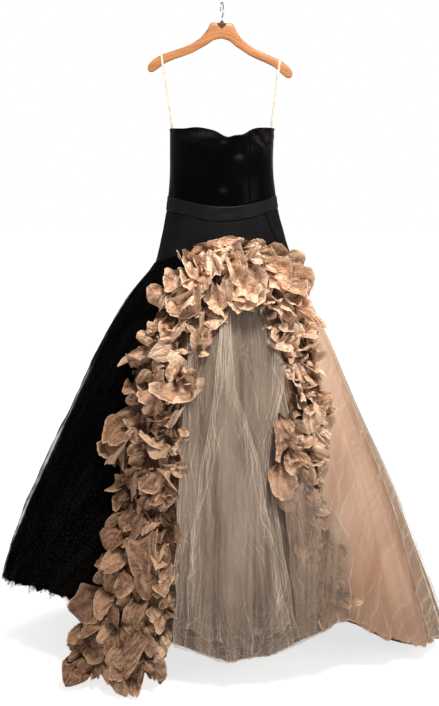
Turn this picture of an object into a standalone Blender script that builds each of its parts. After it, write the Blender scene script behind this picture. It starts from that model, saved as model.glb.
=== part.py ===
# Strapless wedding dress hanging on a shaped wooden hanger.
#
# Metres, +Z up. The origin is the top of the hook's inside, where the rail
# carries it. The dress faces -Y, and left and right are the viewer's.
# An angle goes round the dress: 0 at the centre front, 90 degrees at the
# right side, 180 at the centre back, -90 at the left side.

import math
import random

import bmesh
import bpy
from mathutils import Vector

# Driving dimensions
HANGER_WIDTH = 0.400
HANGER_TILT = math.radians(2.44)
CLOTH = 0.0020
SEAM_GAP = 0.0003
BAND_RAISE = 0.0012
HOOK_WIRE = 0.0032
HOOK_INNER_RADIUS = 0.017
HOOK_TURN = math.radians(12.0)
RIBBON_WIDTH = 0.006
RIBBON_THICKNESS = 0.0010
LOOP_SEAT = 0.0008
PETAL_CLOTH = 0.0020

# Long folds of the skirt: their height, how many go round the hem, and the
# part of them left over the middle of the front, where the tulle is crushed.
FOLD_HEIGHT = 0.017
FOLDS_ROUND = 31.0
FRONT_HALF_ANGLE = 16.0
FRONT_FOLDS = 0.5

# Half widths and depths of the dress at each height.
FORM_COLUMNS = ("height", "left", "right", "front", "back")
FORM = (
    (-0.325, 0.1460, 0.1460, 0.110, 0.094),
    (-0.400, 0.1460, 0.1430, 0.111, 0.096),
    (-0.480, 0.1490, 0.1470, 0.109, 0.098),
    (-0.560, 0.1580, 0.1600, 0.112, 0.104),
    (-0.640, 0.1740, 0.1820, 0.126, 0.120),
    (-0.700, 0.1880, 0.2040, 0.140, 0.136),
    (-0.730, 0.2050, 0.2220, 0.152, 0.148),
    (-0.765, 0.2340, 0.2350, 0.164, 0.162),
    (-0.820, 0.2740, 0.2530, 0.182, 0.182),
    (-0.940, 0.3400, 0.3080, 0.214, 0.216),
    (-1.120, 0.4240, 0.3880, 0.252, 0.262),
    (-1.375, 0.5500, 0.5080, 0.296, 0.312),
    (-1.600, 0.6450, 0.5960, 0.326, 0.350),
    (-1.850, 0.7150, 0.6900, 0.348, 0.384),
)

# Heights of the edges and seams round the dress.
EDGE_COLUMNS = ("angle", "band_top", "band_foot", "skirt_seam", "hem")
EDGES = (
    (-180.0, -0.5200, -0.5600, -0.715, -1.790),
    (-135.0, -0.5200, -0.5600, -0.715, -1.755),
    (-90.0, -0.5210, -0.5610, -0.712, -1.695),
    (-60.0, -0.5240, -0.5640, -0.697, -1.645),
    (-45.0, -0.5290, -0.5680, -0.684, -1.645),
    (-30.0, -0.5350, -0.5750, -0.670, -1.695),
    (-12.0, -0.5420, -0.5840, -0.660, -1.735),
    (0.0, -0.5435, -0.5855, -0.655, -1.780),
    (10.0, -0.5435, -0.5845, -0.653, -1.772),
    (22.0, -0.5400, -0.5800, -0.654, -1.730),
    (34.0, -0.5350, -0.5740, -0.657, -1.700),
    (48.0, -0.5300, -0.5650, -0.661, -1.782),
    (64.0, -0.5240, -0.5590, -0.670, -1.840),
    (90.0, -0.5180, -0.5540, -0.686, -1.845),
    (135.0, -0.5180, -0.5560, -0.705, -1.822),
    (180.0, -0.5200, -0.5600, -0.715, -1.790),
)

# Neckline: two rounded lobes with a dip just right of the centre, lower at
# the back.
NECK_COLUMNS = ("angle", "height")
NECKLINE = (
    (-180.0, -0.362),
    (-140.0, -0.357),
    (-100.0, -0.339),
    (-73.0, -0.335),
    (-45.0, -0.335),
    (-28.0, -0.332),
    (-16.0, -0.336),
    (-7.0, -0.342),
    (5.0, -0.357),
    (14.0, -0.353),
    (23.0, -0.350),
    (34.0, -0.337),
    (46.0, -0.333),
    (85.0, -0.335),
    (100.0, -0.339),
    (140.0, -0.357),
    (180.0, -0.362),
)

# Cups of the bodice: x, height, spread and rise above the form.
CUPS = (
    (-0.068, -0.398, 0.044, 0.012),
    (0.072, -0.400, 0.044, 0.012),
)

# Pieces of the bodice: name, the angles of both side seams, facets between.
BODICE = (
    ("bodice_back_left", -180.0, -90.0, 8),
    ("bodice_side_front_left", -90.0, -29.0, 6),
    ("bodice_centre_front", -29.0, 30.0, 7),
    ("bodice_side_front_right", 30.0, 90.0, 6),
    ("bodice_back_right", 90.0, 180.0, 8),
)

# Rows of points of each part, as shares of its height from the top.
BODICE_SHARES = (0.0, 0.16, 0.34, 0.54, 0.78, 1.0)
BAND_SHARES = (0.0, 1.0)
YOKE_SHARES = (0.0, 0.5, 1.0)
SKIRT_SHARES = (0.0, 0.045, 0.10, 0.20, 0.40, 0.70, 1.0)

# Panels of the skirt: name and cloth, the angles of the low side edge at the
# seam and at the hem, the same of the high side edge, facets between.
PANELS = (
    ("skirt_black", "black_tulle", 118.0, 118.0, 333.0, 333.0, 62),
    ("skirt_front", "taupe_tulle", -27.0, -27.0, 30.0, 30.0, 18),
    ("skirt_blush", "blush_tulle", 30.0, 30.0, 84.0, 70.0, 14),
    ("skirt_nude", "nude_tulle", 84.0, 70.0, 118.0, 118.0, 14),
)

# Underskirt, from its top edge: the part it hangs in, the share of that
# part's height, and how far inside it the cloth lies.
UNDERSKIRT_STRIPS = 40
UNDERSKIRT_SWAY = 0.005
UNDERSKIRT = (
    ("yoke", 0.55, 0.0029),
    ("yoke", 1.0, 0.0029),
    ("skirt", 0.045, 0.0090),
    ("skirt", 0.10, 0.0180),
    ("skirt", 0.25, 0.0288),
    ("skirt", 0.62, 0.0320),
    ("skirt", 1.008, 0.0320),
)

# Ruffles: the angles of both edges at each height, top row first.
RUFFLE_COLUMNS = ("height", "low", "high")
CROWN = (
    (-0.624, -10.0, 40.0),
    (-0.660, -23.0, 55.0),
    (-0.705, -32.0, 64.0),
    (-0.755, -38.0, 69.0),
    (-0.815, -41.0, 70.0),
)
LEFT_CASCADE = (
    (-0.840, -41.0, 3.0),
    (-0.940, -43.0, -8.0),
    (-1.040, -44.5, -15.0),
    (-1.160, -42.5, -13.5),
    (-1.290, -37.5, -13.0),
    (-1.450, -31.0, -11.5),
    (-1.580, -31.0, -11.0),
    (-1.680, -37.0, -10.0),
    (-1.840, -38.0, -12.5),
)
RIGHT_CASCADE = (
    (-0.840, 25.0, 69.0),
    (-0.920, 30.0, 57.0),
    (-1.040, 32.0, 51.0),
    (-1.110, 26.5, 49.0),
    (-1.170, 19.0, 42.0),
    (-1.280, 19.0, 36.0),
    (-1.430, 19.5, 38.0),
    (-1.560, 21.0, 40.0),
    (-1.660, 25.0, 39.0),
)

# Where the skirt lies flat under the ruffles, between two angles on each side,
# and the degrees over which its folds come back.
CALM_RAMP = 4.0
CALM_COLUMNS = ("height", "left_low", "left_high", "right_low", "right_high")
CALM = (
    (-0.900, -50.0, 2.0, 2.0, 78.0),
    (-1.090, -49.0, -1.0, 14.0, 59.0),
    (-1.420, -48.0, -6.0, 14.0, 53.0),
    (-1.750, -42.0, -5.0, 14.0, 46.0),
)

# Sets of ruffles: name, edges, heights of top and foot, rows, petals in a
# row, petal length and reach, height of the strip over the skirt, seed.
RUFFLE_SETS = (
    ("ruffle_crown", CROWN, -0.626, -0.814, 4, 5, 0.102, 0.060, 0.0021, 11),
    ("ruffle_left_upper", LEFT_CASCADE, -0.842, -1.300, 7, 3, 0.088, 0.052, 0.0019, 12),
    ("ruffle_left_lower", LEFT_CASCADE, -1.305, -1.836, 8, 3, 0.086, 0.050, 0.0014, 13),
    ("ruffle_right_upper", RIGHT_CASCADE, -0.842, -1.240, 6, 2, 0.086, 0.048, 0.0021, 14),
    ("ruffle_right_lower", RIGHT_CASCADE, -1.245, -1.625, 6, 2, 0.074, 0.040, 0.0013, 15),
)

# A petal: half widths from root to tip as shares of its place in the row,
# the places across it, how far it bends over, and the gap to the next one.
PETAL_WIDTHS = (0.50, 0.555, 0.56, 0.36)
PETAL_PLACES = (-1.0, -0.36, 0.36, 1.0)
PETAL_BEND = math.radians(78.0)
PETAL_GAP = 0.42
PETAL_CUP = 0.005

# One arm of the hanger, from the centre to the tip, before it is tilted.
ARM_COLUMNS = ("reach", "upper", "lower", "half_depth")
ARM = (
    (0.000, -0.0525, -0.0940, 0.0065),
    (0.020, -0.0525, -0.0985, 0.0065),
    (0.030, -0.0530, -0.1050, 0.0065),
    (0.035, -0.0620, -0.1090, 0.0065),
    (0.041, -0.0740, -0.1135, 0.0065),
    (0.055, -0.0920, -0.1215, 0.0063),
    (0.077, -0.1085, -0.1345, 0.0061),
    (0.100, -0.1195, -0.1440, 0.0060),
    (0.125, -0.1295, -0.1530, 0.0060),
    (0.150, -0.1385, -0.1640, 0.0060),
    (0.170, -0.1470, -0.1800, 0.0060),
    (0.185, -0.1570, -0.1905, 0.0058),
    (0.195, -0.1670, -0.1910, 0.0052),
    (0.200, -0.1750, -0.1850, 0.0040),
)

BAR_CHAMFER = 0.0022

# The hook's wire from the ferrule up to its bend: distance along the hook's
# plane and height; then the bend, between two angles.
HOOK_STEM = (
    (0.0, -0.0440),
    (0.0025, -0.0385),
    (0.0090, -0.0325),
    (0.0150, -0.0260),
)
HOOK_BEND = (-5.0, 205.0)
COLLAR_HEIGHT = 0.0040
COLLAR = ((0.0052, 0.0), (0.0052, 0.0026), (0.0034, COLLAR_HEIGHT))

# Hanging ribbons: place along the arm, height of the foot inside the bodice.
LOOP_REACH = 0.1635
LOOP_FOOT = -0.368

# The zip's slider: height of its middle, plate, and the bridge over the plate.
ZIP_HEIGHT = -0.381
PLATE_HALF_LENGTH = 0.0050
PLATE_HALF_WIDTH = 0.0028
PLATE_DEPTH = 0.0014
BRIDGE_HALF_LENGTH = 0.0034
BRIDGE_HALF_WIDTH = 0.0007
BRIDGE_RISE = 0.0030
BRIDGE_BAR = 0.0010

# The pull tab hangs from its crossbar; x and z of its right edge and its eye.
PULL_THICKNESS = 0.0010
PULL_EDGE = (
    (0.0024, 0.0005),
    (0.0024, -0.0044),
    (0.0029, -0.0120),
    (0.0034, -0.0200),
    (0.0026, -0.0232),
    (0.0010, -0.0244),
)
PULL_EYE = (0.0012, -0.0005, -0.0044)

MATERIALS = {
    "hook_steel": ((0.36, 0.35, 0.34), 0.30, 1.0),
    "collar_steel": ((0.30, 0.27, 0.24), 0.35, 1.0),
    "hanger_wood": ((0.62, 0.28, 0.11), 0.45, 0.0),
    "ribbon": ((0.82, 0.72, 0.60), 0.60, 0.0),
    "black_satin": ((0.006, 0.006, 0.007), 0.35, 0.0),
    "black_crepe": ((0.010, 0.010, 0.011), 0.55, 0.0),
    "black_tulle": ((0.008, 0.008, 0.009), 0.80, 0.0),
    "dark_underlayer": ((0.060, 0.045, 0.038), 0.80, 0.0),
    "taupe_tulle": ((0.36, 0.28, 0.22), 0.75, 0.0),
    "blush_tulle": ((0.58, 0.36, 0.26), 0.75, 0.0),
    "nude_tulle": ((0.50, 0.38, 0.29), 0.75, 0.0),
    "organza": ((0.66, 0.42, 0.29), 0.55, 0.0),
    "zip_metal": ((0.05, 0.05, 0.05), 0.40, 1.0),
}


def clear_scene():
    for item in list(bpy.data.objects):
        bpy.data.objects.remove(item, do_unlink=True)


def make_material(name):
    found = bpy.data.materials.get(name)
    if found:
        return found
    colour, roughness, metallic = MATERIALS[name]
    material = bpy.data.materials.new(name)
    material.use_nodes = True
    shader = material.node_tree.nodes["Principled BSDF"]
    shader.inputs["Base Color"].default_value = (*colour, 1.0)
    shader.inputs["Roughness"].default_value = roughness
    shader.inputs["Metallic"].default_value = metallic
    return material


def between(table, value, column):
    """Reads a column of a table at a value of its first column, smoothly."""
    rows = sorted(table)
    keys = [row[0] for row in rows]
    marks = [row[column] for row in rows]
    if value <= keys[0]:
        slope = (marks[1] - marks[0]) / (keys[1] - keys[0])
        return marks[0] + slope * (value - keys[0])
    if value >= keys[-1]:
        return marks[-1]
    here = next(i for i in range(len(keys) - 1) if value <= keys[i + 1])
    width = keys[here + 1] - keys[here]

    def slope_at(i):
        before = max(i - 1, 0)
        after = min(i + 1, len(keys) - 1)
        return (marks[after] - marks[before]) / (keys[after] - keys[before])

    t = (value - keys[here]) / width
    start = (1 + 2 * t) * (1 - t) ** 2 * marks[here]
    leave = t * (1 - t) ** 2 * width * slope_at(here)
    end = t * t * (3 - 2 * t) * marks[here + 1]
    arrive = t * t * (t - 1) * width * slope_at(here + 1)
    return start + leave + end + arrive


def level(table, value, column):
    """Reads a column of a table with straight lines between its rows."""
    rows = sorted(table)
    value = min(max(value, rows[0][0]), rows[-1][0])
    for low, high in zip(rows, rows[1:]):
        if value <= high[0]:
            share = (value - low[0]) / (high[0] - low[0])
            return low[column] + share * (high[column] - low[column])
    return rows[-1][column]


def wrapped(angle):
    return (angle + 180.0) % 360.0 - 180.0


def spread(low, high, strips):
    return [low + (high - low) * i / strips for i in range(strips + 1)]


def body_angles(low, high):
    """Angles of the facets' edges that every piece above the skirt shares."""
    angles = []
    for _, first, last, strips in BODICE:
        angles += [a for a in spread(first, last, strips) if low <= a <= high]
    return sorted(set(angles))


def edge_lines():
    """Each edge as straight stretches between the shared angles."""
    lines = {}
    for column, name in enumerate(EDGE_COLUMNS[1:], start=1):
        lines[name] = [(a, between(EDGES, a, column)) for a in body_angles(-180.0, 180.0)]
    return lines


EDGE_LINES = edge_lines()


def edge_height(angle, name):
    return level(EDGE_LINES[name], wrapped(angle), 1)


def neck_height(angle):
    return between(NECKLINE, wrapped(angle), NECK_COLUMNS.index("height"))


def cup_rise(x, height):
    rise = 0.0
    for centre, middle, spread, top in CUPS:
        distance = math.hypot(x - centre, height - middle)
        rise += top * math.exp(-(distance / spread) ** 2)
    return rise


def form_axes(angle, height):
    turn = math.radians(angle)
    side = "right" if math.sin(turn) > 0 else "left"
    face = "front" if math.cos(turn) > 0 else "back"
    half_width = between(FORM, height, FORM_COLUMNS.index(side))
    depth = between(FORM, height, FORM_COLUMNS.index(face))
    return half_width, depth


def form_point(angle, height, out=0.0):
    """A point of the dress's oval form, moved out along its level normal."""
    half_width, depth = form_axes(angle, height)
    turn = math.radians(angle)
    x = half_width * math.sin(turn)
    y = -depth * math.cos(turn)
    normal = Vector((math.sin(turn) / half_width, -math.cos(turn) / depth, 0.0))
    normal.normalize()
    if y < 0.0:
        out += cup_rise(x, height)
    return Vector((x, y, height)) + normal * out


def form_normal(angle, height):
    half_width, depth = form_axes(angle, height)
    turn = math.radians(angle)
    normal = Vector((math.sin(turn) / half_width, -math.cos(turn) / depth, 0.0))
    return normal.normalized()


def metres_per_degree(angle, height):
    half_width, depth = form_axes(angle, height)
    turn = math.radians(angle)
    speed = math.hypot(half_width * math.cos(turn), depth * math.sin(turn))
    return speed * math.radians(1.0)


def calm(angle, height):
    """0 under the ruffles, where the skirt lies flat, and 1 away from them."""
    angle = wrapped(angle)
    result = 1.0
    for side in ("left", "right"):
        low = level(CALM, height, CALM_COLUMNS.index(side + "_low"))
        high = level(CALM, height, CALM_COLUMNS.index(side + "_high"))
        outside = max(low - angle, angle - high)
        result = min(result, max(0.0, min(1.0, outside / CALM_RAMP)))
    return result


def fold(hem_angle, share):
    """Height of the skirt's long folds, unevenly spaced and growing downwards."""
    turn = math.radians(hem_angle)
    phase = FOLDS_ROUND * turn + 1.5 * math.sin(3.0 * turn) + 1.1 * math.sin(7.0 * turn + 0.8)
    wave = 0.72 * math.sin(phase) + 0.38 * math.sin(0.5 * phase + 2.1 * turn)
    unevenness = 0.75 + 0.25 * math.sin(5.0 * turn + 1.7)
    if abs(wrapped(hem_angle)) < FRONT_HALF_ANGLE:
        unevenness *= FRONT_FOLDS
    growth = min(1.0, 0.10 + share) * min(1.0, share * 9.0)
    return FOLD_HEIGHT * wave * unevenness * growth


def skirt_row_point(angle, hem_angle, share, out):
    top = edge_height(angle, "skirt_seam") - 0.5 * SEAM_GAP
    foot = edge_height(hem_angle, "hem")
    height = top + (foot - top) * share
    out += fold(hem_angle, share) * calm(angle, height)
    return form_point(angle, height, out)


def yoke_row_point(angle, share, out):
    top = edge_height(angle, "band_foot") - 0.5 * SEAM_GAP
    foot = edge_height(angle, "skirt_seam") + 0.5 * SEAM_GAP
    return form_point(angle, top + (foot - top) * share, out)


def surface_point(angle, height, out):
    """A point over the yoke and skirt, level with their flat facets, moved out."""
    rows = [yoke_row_point(angle, share, 0.0) for share in YOKE_SHARES]
    rows += [skirt_row_point(angle, angle, share, 0.0) for share in SKIRT_SHARES]
    rows.sort(key=lambda point: -point.z)
    pair = (rows[-2], rows[-1])
    for upper, lower in zip(rows, rows[1:]):
        if height >= lower.z and upper.z - lower.z > 0.001:
            pair = (upper, lower)
            break
    upper, lower = pair
    share = (upper.z - height) / (upper.z - lower.z)
    point = upper.lerp(lower, share)
    return point + form_normal(angle, height) * out


def add_object(name, points, faces, material):
    mesh = bpy.data.meshes.new(name)
    mesh.from_pydata([tuple(point) for point in points], [], faces)
    mesh.validate()
    item = bpy.data.objects.new(name, mesh)
    bpy.context.scene.collection.objects.link(item)
    mesh.materials.append(make_material(material))
    mesh.shade_smooth()
    mesh.set_sharp_from_angle(angle=math.radians(40.0))
    return item


def square(a, b, c, d):
    """Both triangles of a four-sided facet, always split the same way."""
    return [(a, b, c), (a, c, d)]


def wall_faces(rows, columns, closed=False, skip=()):
    """Facets of a closed wall: an outer grid of points, then the inner one."""
    total = rows * columns
    last = columns if closed else columns - 1
    faces = []
    for r in range(rows - 1):
        for c in range(last):
            d = (c + 1) % columns
            a, b = r * columns + c, r * columns + d
            e, f = (r + 1) * columns + c, (r + 1) * columns + d
            if (r, c) not in skip:
                faces += square(e, f, b, a)
            faces += square(b + total, f + total, e + total, a + total)
    for c in range(last):
        d = (c + 1) % columns
        foot = (rows - 1) * columns
        faces += square(c, d, d + total, c + total)
        faces += square(foot + d, foot + c, foot + c + total, foot + d + total)
    if not closed:
        for r in range(rows - 1):
            a, b = r * columns, (r + 1) * columns
            faces += square(b, a, a + total, b + total)
            a, b = a + columns - 1, b + columns - 1
            faces += square(a, b, b + total, a + total)
    return faces


def add_wall(name, outer, inner, material, closed=False):
    points = [point for row in outer for point in row]
    points += [point for row in inner for point in row]
    faces = wall_faces(len(outer), len(outer[0]), closed)
    return add_object(name, points, faces, material)


def trimmed(angle, height, index, last):
    """Steps a panel's side edges back from the seam by half the seam gap."""
    step = 0.5 * SEAM_GAP / metres_per_degree(angle, height)
    if index == 0:
        return angle + step
    if index == last:
        return angle - step
    return angle


def band_grid(angles, shares, top, foot, out):
    """Rows of points between two heights that follow the angle."""
    rows = []
    last = len(angles) - 1
    for share in shares:
        row = []
        for index, angle in enumerate(angles):
            upper, lower = top(angle), foot(angle)
            height = upper + (lower - upper) * share
            row.append(form_point(trimmed(angle, height, index, last), height, out))
        rows.append(row)
    return rows


def build_bodice():
    half_gap = 0.5 * SEAM_GAP

    def foot(angle):
        return edge_height(angle, "band_top") + half_gap

    for name, low, high, strips in BODICE:
        angles = spread(low, high, strips)
        outer = band_grid(angles, BODICE_SHARES, neck_height, foot, 0.0)
        inner = band_grid(angles, BODICE_SHARES, neck_height, foot, -CLOTH)
        add_wall(name, outer, inner, "black_satin")


def build_waistband():
    half_gap = 0.5 * SEAM_GAP
    pieces = (
        ("waistband_back_left", -180.0, -90.0),
        ("waistband_front", -90.0, 90.0),
        ("waistband_back_right", 90.0, 180.0),
    )

    def top(angle):
        return edge_height(angle, "band_top") - half_gap

    def foot(angle):
        return edge_height(angle, "band_foot") + half_gap

    for name, low, high in pieces:
        angles = body_angles(low, high)
        outer = band_grid(angles, BAND_SHARES, top, foot, BAND_RAISE)
        inner = band_grid(angles, BAND_SHARES, top, foot, -CLOTH)
        add_wall(name, outer, inner, "black_satin")


def build_yoke():
    pieces = (
        ("yoke_back_left", -180.0, -90.0),
        ("yoke_front", -90.0, 90.0),
        ("yoke_back_right", 90.0, 180.0),
    )
    for name, low, high in pieces:
        angles = body_angles(low, high)
        grids = []
        for out in (0.0, -CLOTH):
            rows = []
            for share in YOKE_SHARES:
                row = []
                for index, angle in enumerate(angles):
                    height = edge_height(angle, "skirt_seam")
                    turned = trimmed(angle, height, index, len(angles) - 1)
                    row.append(yoke_row_point(turned, share, out))
                rows.append(row)
            grids.append(rows)
        add_wall(name, grids[0], grids[1], "black_crepe")


def build_skirt():
    for name, cloth, low_top, low_hem, high_top, high_hem, strips in PANELS:
        tops = spread(low_top, high_top, strips)
        hems = spread(low_hem, high_hem, strips)
        grids = []
        for out in (0.0, -CLOTH):
            rows = []
            for share in SKIRT_SHARES:
                row = []
                for index in range(strips + 1):
                    angle = tops[index] + (hems[index] - tops[index]) * share
                    seam = edge_height(angle, "skirt_seam")
                    hem = edge_height(hems[index], "hem")
                    height = seam + (hem - seam) * share
                    turned = trimmed(angle, height, index, strips)
                    row.append(skirt_row_point(turned, hems[index], share, out))
                rows.append(row)
            grids.append(rows)
        add_wall(name, grids[0], grids[1], cloth)


def build_underskirt():
    """The dark inner skirt: inside the yoke at its top, then clear of the tulle."""
    angles = [360.0 * i / UNDERSKIRT_STRIPS for i in range(UNDERSKIRT_STRIPS)]
    grids = []
    for wall_step in (0.0, CLOTH):
        rows = []
        for kind, share, inset in UNDERSKIRT:
            row = []
            for angle in angles:
                out = -inset - wall_step
                if kind == "yoke":
                    row.append(yoke_row_point(angle, share, out))
                    continue
                top = edge_height(angle, "skirt_seam")
                foot = edge_height(angle, "hem")
                sway = UNDERSKIRT_SWAY * math.sin(math.radians(11.0 * angle)) * share
                row.append(form_point(angle, top + (foot - top) * share, out + sway))
            rows.append(row)
        grids.append(rows)
    add_wall("underskirt", grids[0], grids[1], "dark_underlayer", closed=True)


def petal_path(step, length, reach, flare):
    """Down and outward distance along a petal, from its root to its tip."""
    bend = step * PETAL_BEND
    down = length * (1.0 - math.cos(bend)) * 1.18
    out = reach * (0.78 * math.sin(bend) + 0.22 * step) * flare
    return down, out


def petal_rings(root, width, settings, chance):
    """Rings of points of one petal: outer and inner skin, from root to tip."""
    length = settings["length"] * chance.uniform(0.86, 1.14)
    flare = settings["flare"] * chance.uniform(0.95, 1.05)
    lean = settings["lean"] + chance.uniform(-0.05, 0.05)
    cup = settings["cup"] * chance.uniform(0.7, 1.1)
    angle, height = root
    per_degree = metres_per_degree(angle, height)
    rings = []
    for step in (1, 2, 3):
        t = step / 3.0
        down, out = petal_path(t, length, settings["reach"], flare)
        ahead, rise = petal_path(t + 0.02, length, settings["reach"], flare)
        slant = math.hypot(ahead - down, rise - out)
        up, away = (rise - out) / slant, (ahead - down) / slant
        ring = {"outer": [], "inner": []}
        for place in PETAL_PLACES:
            side = place * PETAL_WIDTHS[step] * width + lean * down
            wave = cup * t * (abs(place) - 0.5) * 2.0
            drop = down - 0.16 * length * t * t * abs(place)
            for skin, sign in (("outer", 0.5), ("inner", -0.5)):
                z = height - drop + sign * PETAL_CLOTH * up
                off = settings["base"] + out + wave + sign * PETAL_CLOTH * away
                ring[skin].append(surface_point(angle + side / per_degree, z, off))
        rings.append(ring)
    return rings


def build_ruffle(name, table, top, foot, rows, petals, length, reach, seat, seed):
    """A backing strip with rows of cupped petals growing out of its slots."""
    chance = random.Random(seed)
    per_petal = len(PETAL_PLACES) - 1
    columns = petals * per_petal + petals
    half_slot = 0.5 * PETAL_CLOTH
    heights = []
    slots = []
    spacing = (top - foot) / rows
    for row in range(rows):
        middle = top - spacing * (row + 0.35)
        heights += [middle + half_slot, middle - half_slot]
        slots.append(middle)
    heights = [top] + heights + [foot]
    low_column = RUFFLE_COLUMNS.index("low")
    high_column = RUFFLE_COLUMNS.index("high")

    weights = []
    for petal in range(petals):
        weights += [1.0] * per_petal
        if petal < petals - 1:
            weights.append(PETAL_GAP)
    marks = [sum(weights[:i]) / sum(weights) for i in range(columns)]

    def angles_at(height):
        low = level(table, height, low_column)
        high = level(table, height, high_column)
        return [low + (high - low) * mark for mark in marks]

    base = seat + PETAL_CLOTH
    outer, inner = [], []
    for height in heights:
        angles = angles_at(height)
        outer.append([surface_point(angle, height, base) for angle in angles])
        inner.append([surface_point(angle, height, seat) for angle in angles])
    points = [point for grid in (outer, inner) for row in grid for point in row]

    skip = set()
    for row in range(rows):
        for petal in range(petals):
            start = petal * (per_petal + 1)
            skip.update((2 * row + 1, start + i) for i in range(per_petal))
    faces = wall_faces(len(heights), columns, skip=skip)

    even_flare, breadth, even_cup = 0.82, 1.0, -0.8 * PETAL_CUP
    if table is CROWN:
        even_flare, breadth, even_cup = 1.0, 0.90, PETAL_CUP
    for row in range(rows):
        angles = angles_at(slots[row])
        row_lean = chance.uniform(-0.20, 0.20)
        for petal in range(petals):
            start = petal * (per_petal + 1)
            low, high = angles[start], angles[start + per_petal]
            middle = 0.5 * (low + high)
            width = (high - low) * metres_per_degree(middle, slots[row]) * breadth
            settings = {
                "length": length,
                "reach": reach,
                "flare": 1.0 if petal % 2 else even_flare,
                "cup": PETAL_CUP if petal % 2 else even_cup,
                "base": base,
                "lean": row_lean,
            }
            rings = petal_rings((middle, slots[row]), width, settings, chance)
            upper = [(2 * row + 1) * columns + start + i for i in range(per_petal + 1)]
            lower = [(2 * row + 2) * columns + start + i for i in range(per_petal + 1)]
            for ring in rings:
                next_upper = [len(points) + i for i in range(per_petal + 1)]
                points += ring["outer"]
                next_lower = [len(points) + i for i in range(per_petal + 1)]
                points += ring["inner"]
                for i in range(per_petal):
                    faces += square(next_upper[i], next_upper[i + 1], upper[i + 1], upper[i])
                    faces += square(lower[i + 1], next_lower[i + 1], next_lower[i], lower[i])
                faces += square(lower[0], next_lower[0], next_upper[0], upper[0])
                faces += square(upper[-1], next_upper[-1], next_lower[-1], lower[-1])
                upper, lower = next_upper, next_lower
            for i in range(per_petal):
                faces += square(upper[i + 1], upper[i], lower[i], lower[i + 1])
    add_object(name, points, faces, "organza")


def tilted(point):
    """Turns a point of the hanger's bar about the foot of the hook."""
    pivot = Vector((0.0, 0.0, ARM[0][1]))
    offset = point - pivot
    c, s = math.cos(HANGER_TILT), math.sin(HANGER_TILT)
    turned = Vector((offset.x * c + offset.z * s, offset.y, offset.z * c - offset.x * s))
    return pivot + turned


def build_hanger_bar():
    stations = [(-row[0], *row[1:]) for row in reversed(ARM[1:])] + list(ARM)
    scale = 0.5 * HANGER_WIDTH / ARM[-1][0]
    cut = BAR_CHAMFER
    rings = []
    for reach, upper, lower, half in stations:
        x = reach * scale
        corners = (
            (-half, lower + cut),
            (-half, upper - cut),
            (-half + cut, upper),
            (half - cut, upper),
            (half, upper - cut),
            (half, lower + cut),
            (half - cut, lower),
            (-half + cut, lower),
        )
        rings.append([tilted(Vector((x, y, z))) for y, z in corners])
    add_tube("hanger_bar", rings, "hanger_wood")


def add_tube(name, rings, material, closed=False):
    """A solid through rings of points, capped at its ends unless it closes."""
    sides = len(rings[0])
    points = [point for ring in rings for point in ring]
    faces = []
    count = len(rings)
    for r in range(count if closed else count - 1):
        s = (r + 1) % count
        for i in range(sides):
            j = (i + 1) % sides
            faces += square(r * sides + i, r * sides + j, s * sides + j, s * sides + i)
    if not closed:
        faces += [(0, i + 1, i) for i in range(1, sides - 1)]
        end = (count - 1) * sides
        faces += [(end, end + i, end + i + 1) for i in range(1, sides - 1)]
    item = add_object(name, points, faces, material)
    turn_outward(item)
    return item


def turn_outward(item):
    """Flips every face of a solid whose signed volume is negative."""
    mesh = item.data
    volume = 0.0
    for face in mesh.polygons:
        corners = [mesh.vertices[i].co for i in face.vertices]
        for i in range(1, len(corners) - 1):
            volume += corners[0].dot(corners[i].cross(corners[i + 1]))
    if volume < 0.0:
        mesh.flip_normals()


def swept_rings(route, radius, sides):
    """Rings of a round wire along a route that lies in one upright plane."""
    flat = Vector((math.sin(HOOK_TURN), math.cos(HOOK_TURN), 0.0))
    across = Vector((math.cos(HOOK_TURN), -math.sin(HOOK_TURN), 0.0))
    rings = []
    for i, (q, z) in enumerate(route):
        before = route[max(i - 1, 0)]
        after = route[min(i + 1, len(route) - 1)]
        run = Vector((after[0] - before[0], after[1] - before[1])).normalized()
        centre = flat * q + Vector((0.0, 0.0, z))
        side = flat * -run.y + Vector((0.0, 0.0, run.x))
        ring = []
        for k in range(sides):
            turn = 2.0 * math.pi * k / sides
            ring.append(centre + (side * math.cos(turn) + across * math.sin(turn)) * radius)
        rings.append(ring)
    return rings


def build_hook():
    wire = 0.5 * HOOK_WIRE
    bend = HOOK_INNER_RADIUS + wire
    foot = ARM[0][1] + COLLAR_HEIGHT + 2.0 * SEAM_GAP
    route = [(0.0, foot), *HOOK_STEM]
    start, end = HOOK_BEND
    for angle in spread(start, end, 12):
        turn = math.radians(angle)
        route.append((bend * math.cos(turn), bend * math.sin(turn) - HOOK_INNER_RADIUS))
    add_tube("hanger_hook", swept_rings(route, wire, 8), "hook_steel")


def build_collar():
    sides = 16
    low = ARM[0][1] + SEAM_GAP
    rings = []
    for radius, rise in COLLAR:
        z = low + rise
        ring = []
        for k in range(sides):
            turn = 2.0 * math.pi * k / sides
            ring.append(Vector((radius * math.cos(turn), radius * math.sin(turn), z)))
        rings.append(ring)
    add_tube("hanger_collar", rings, "collar_steel")


def arm_height(reach, name):
    scale = 0.5 * HANGER_WIDTH / ARM[-1][0]
    return level(ARM, abs(reach) / scale, ARM_COLUMNS.index(name))


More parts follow.
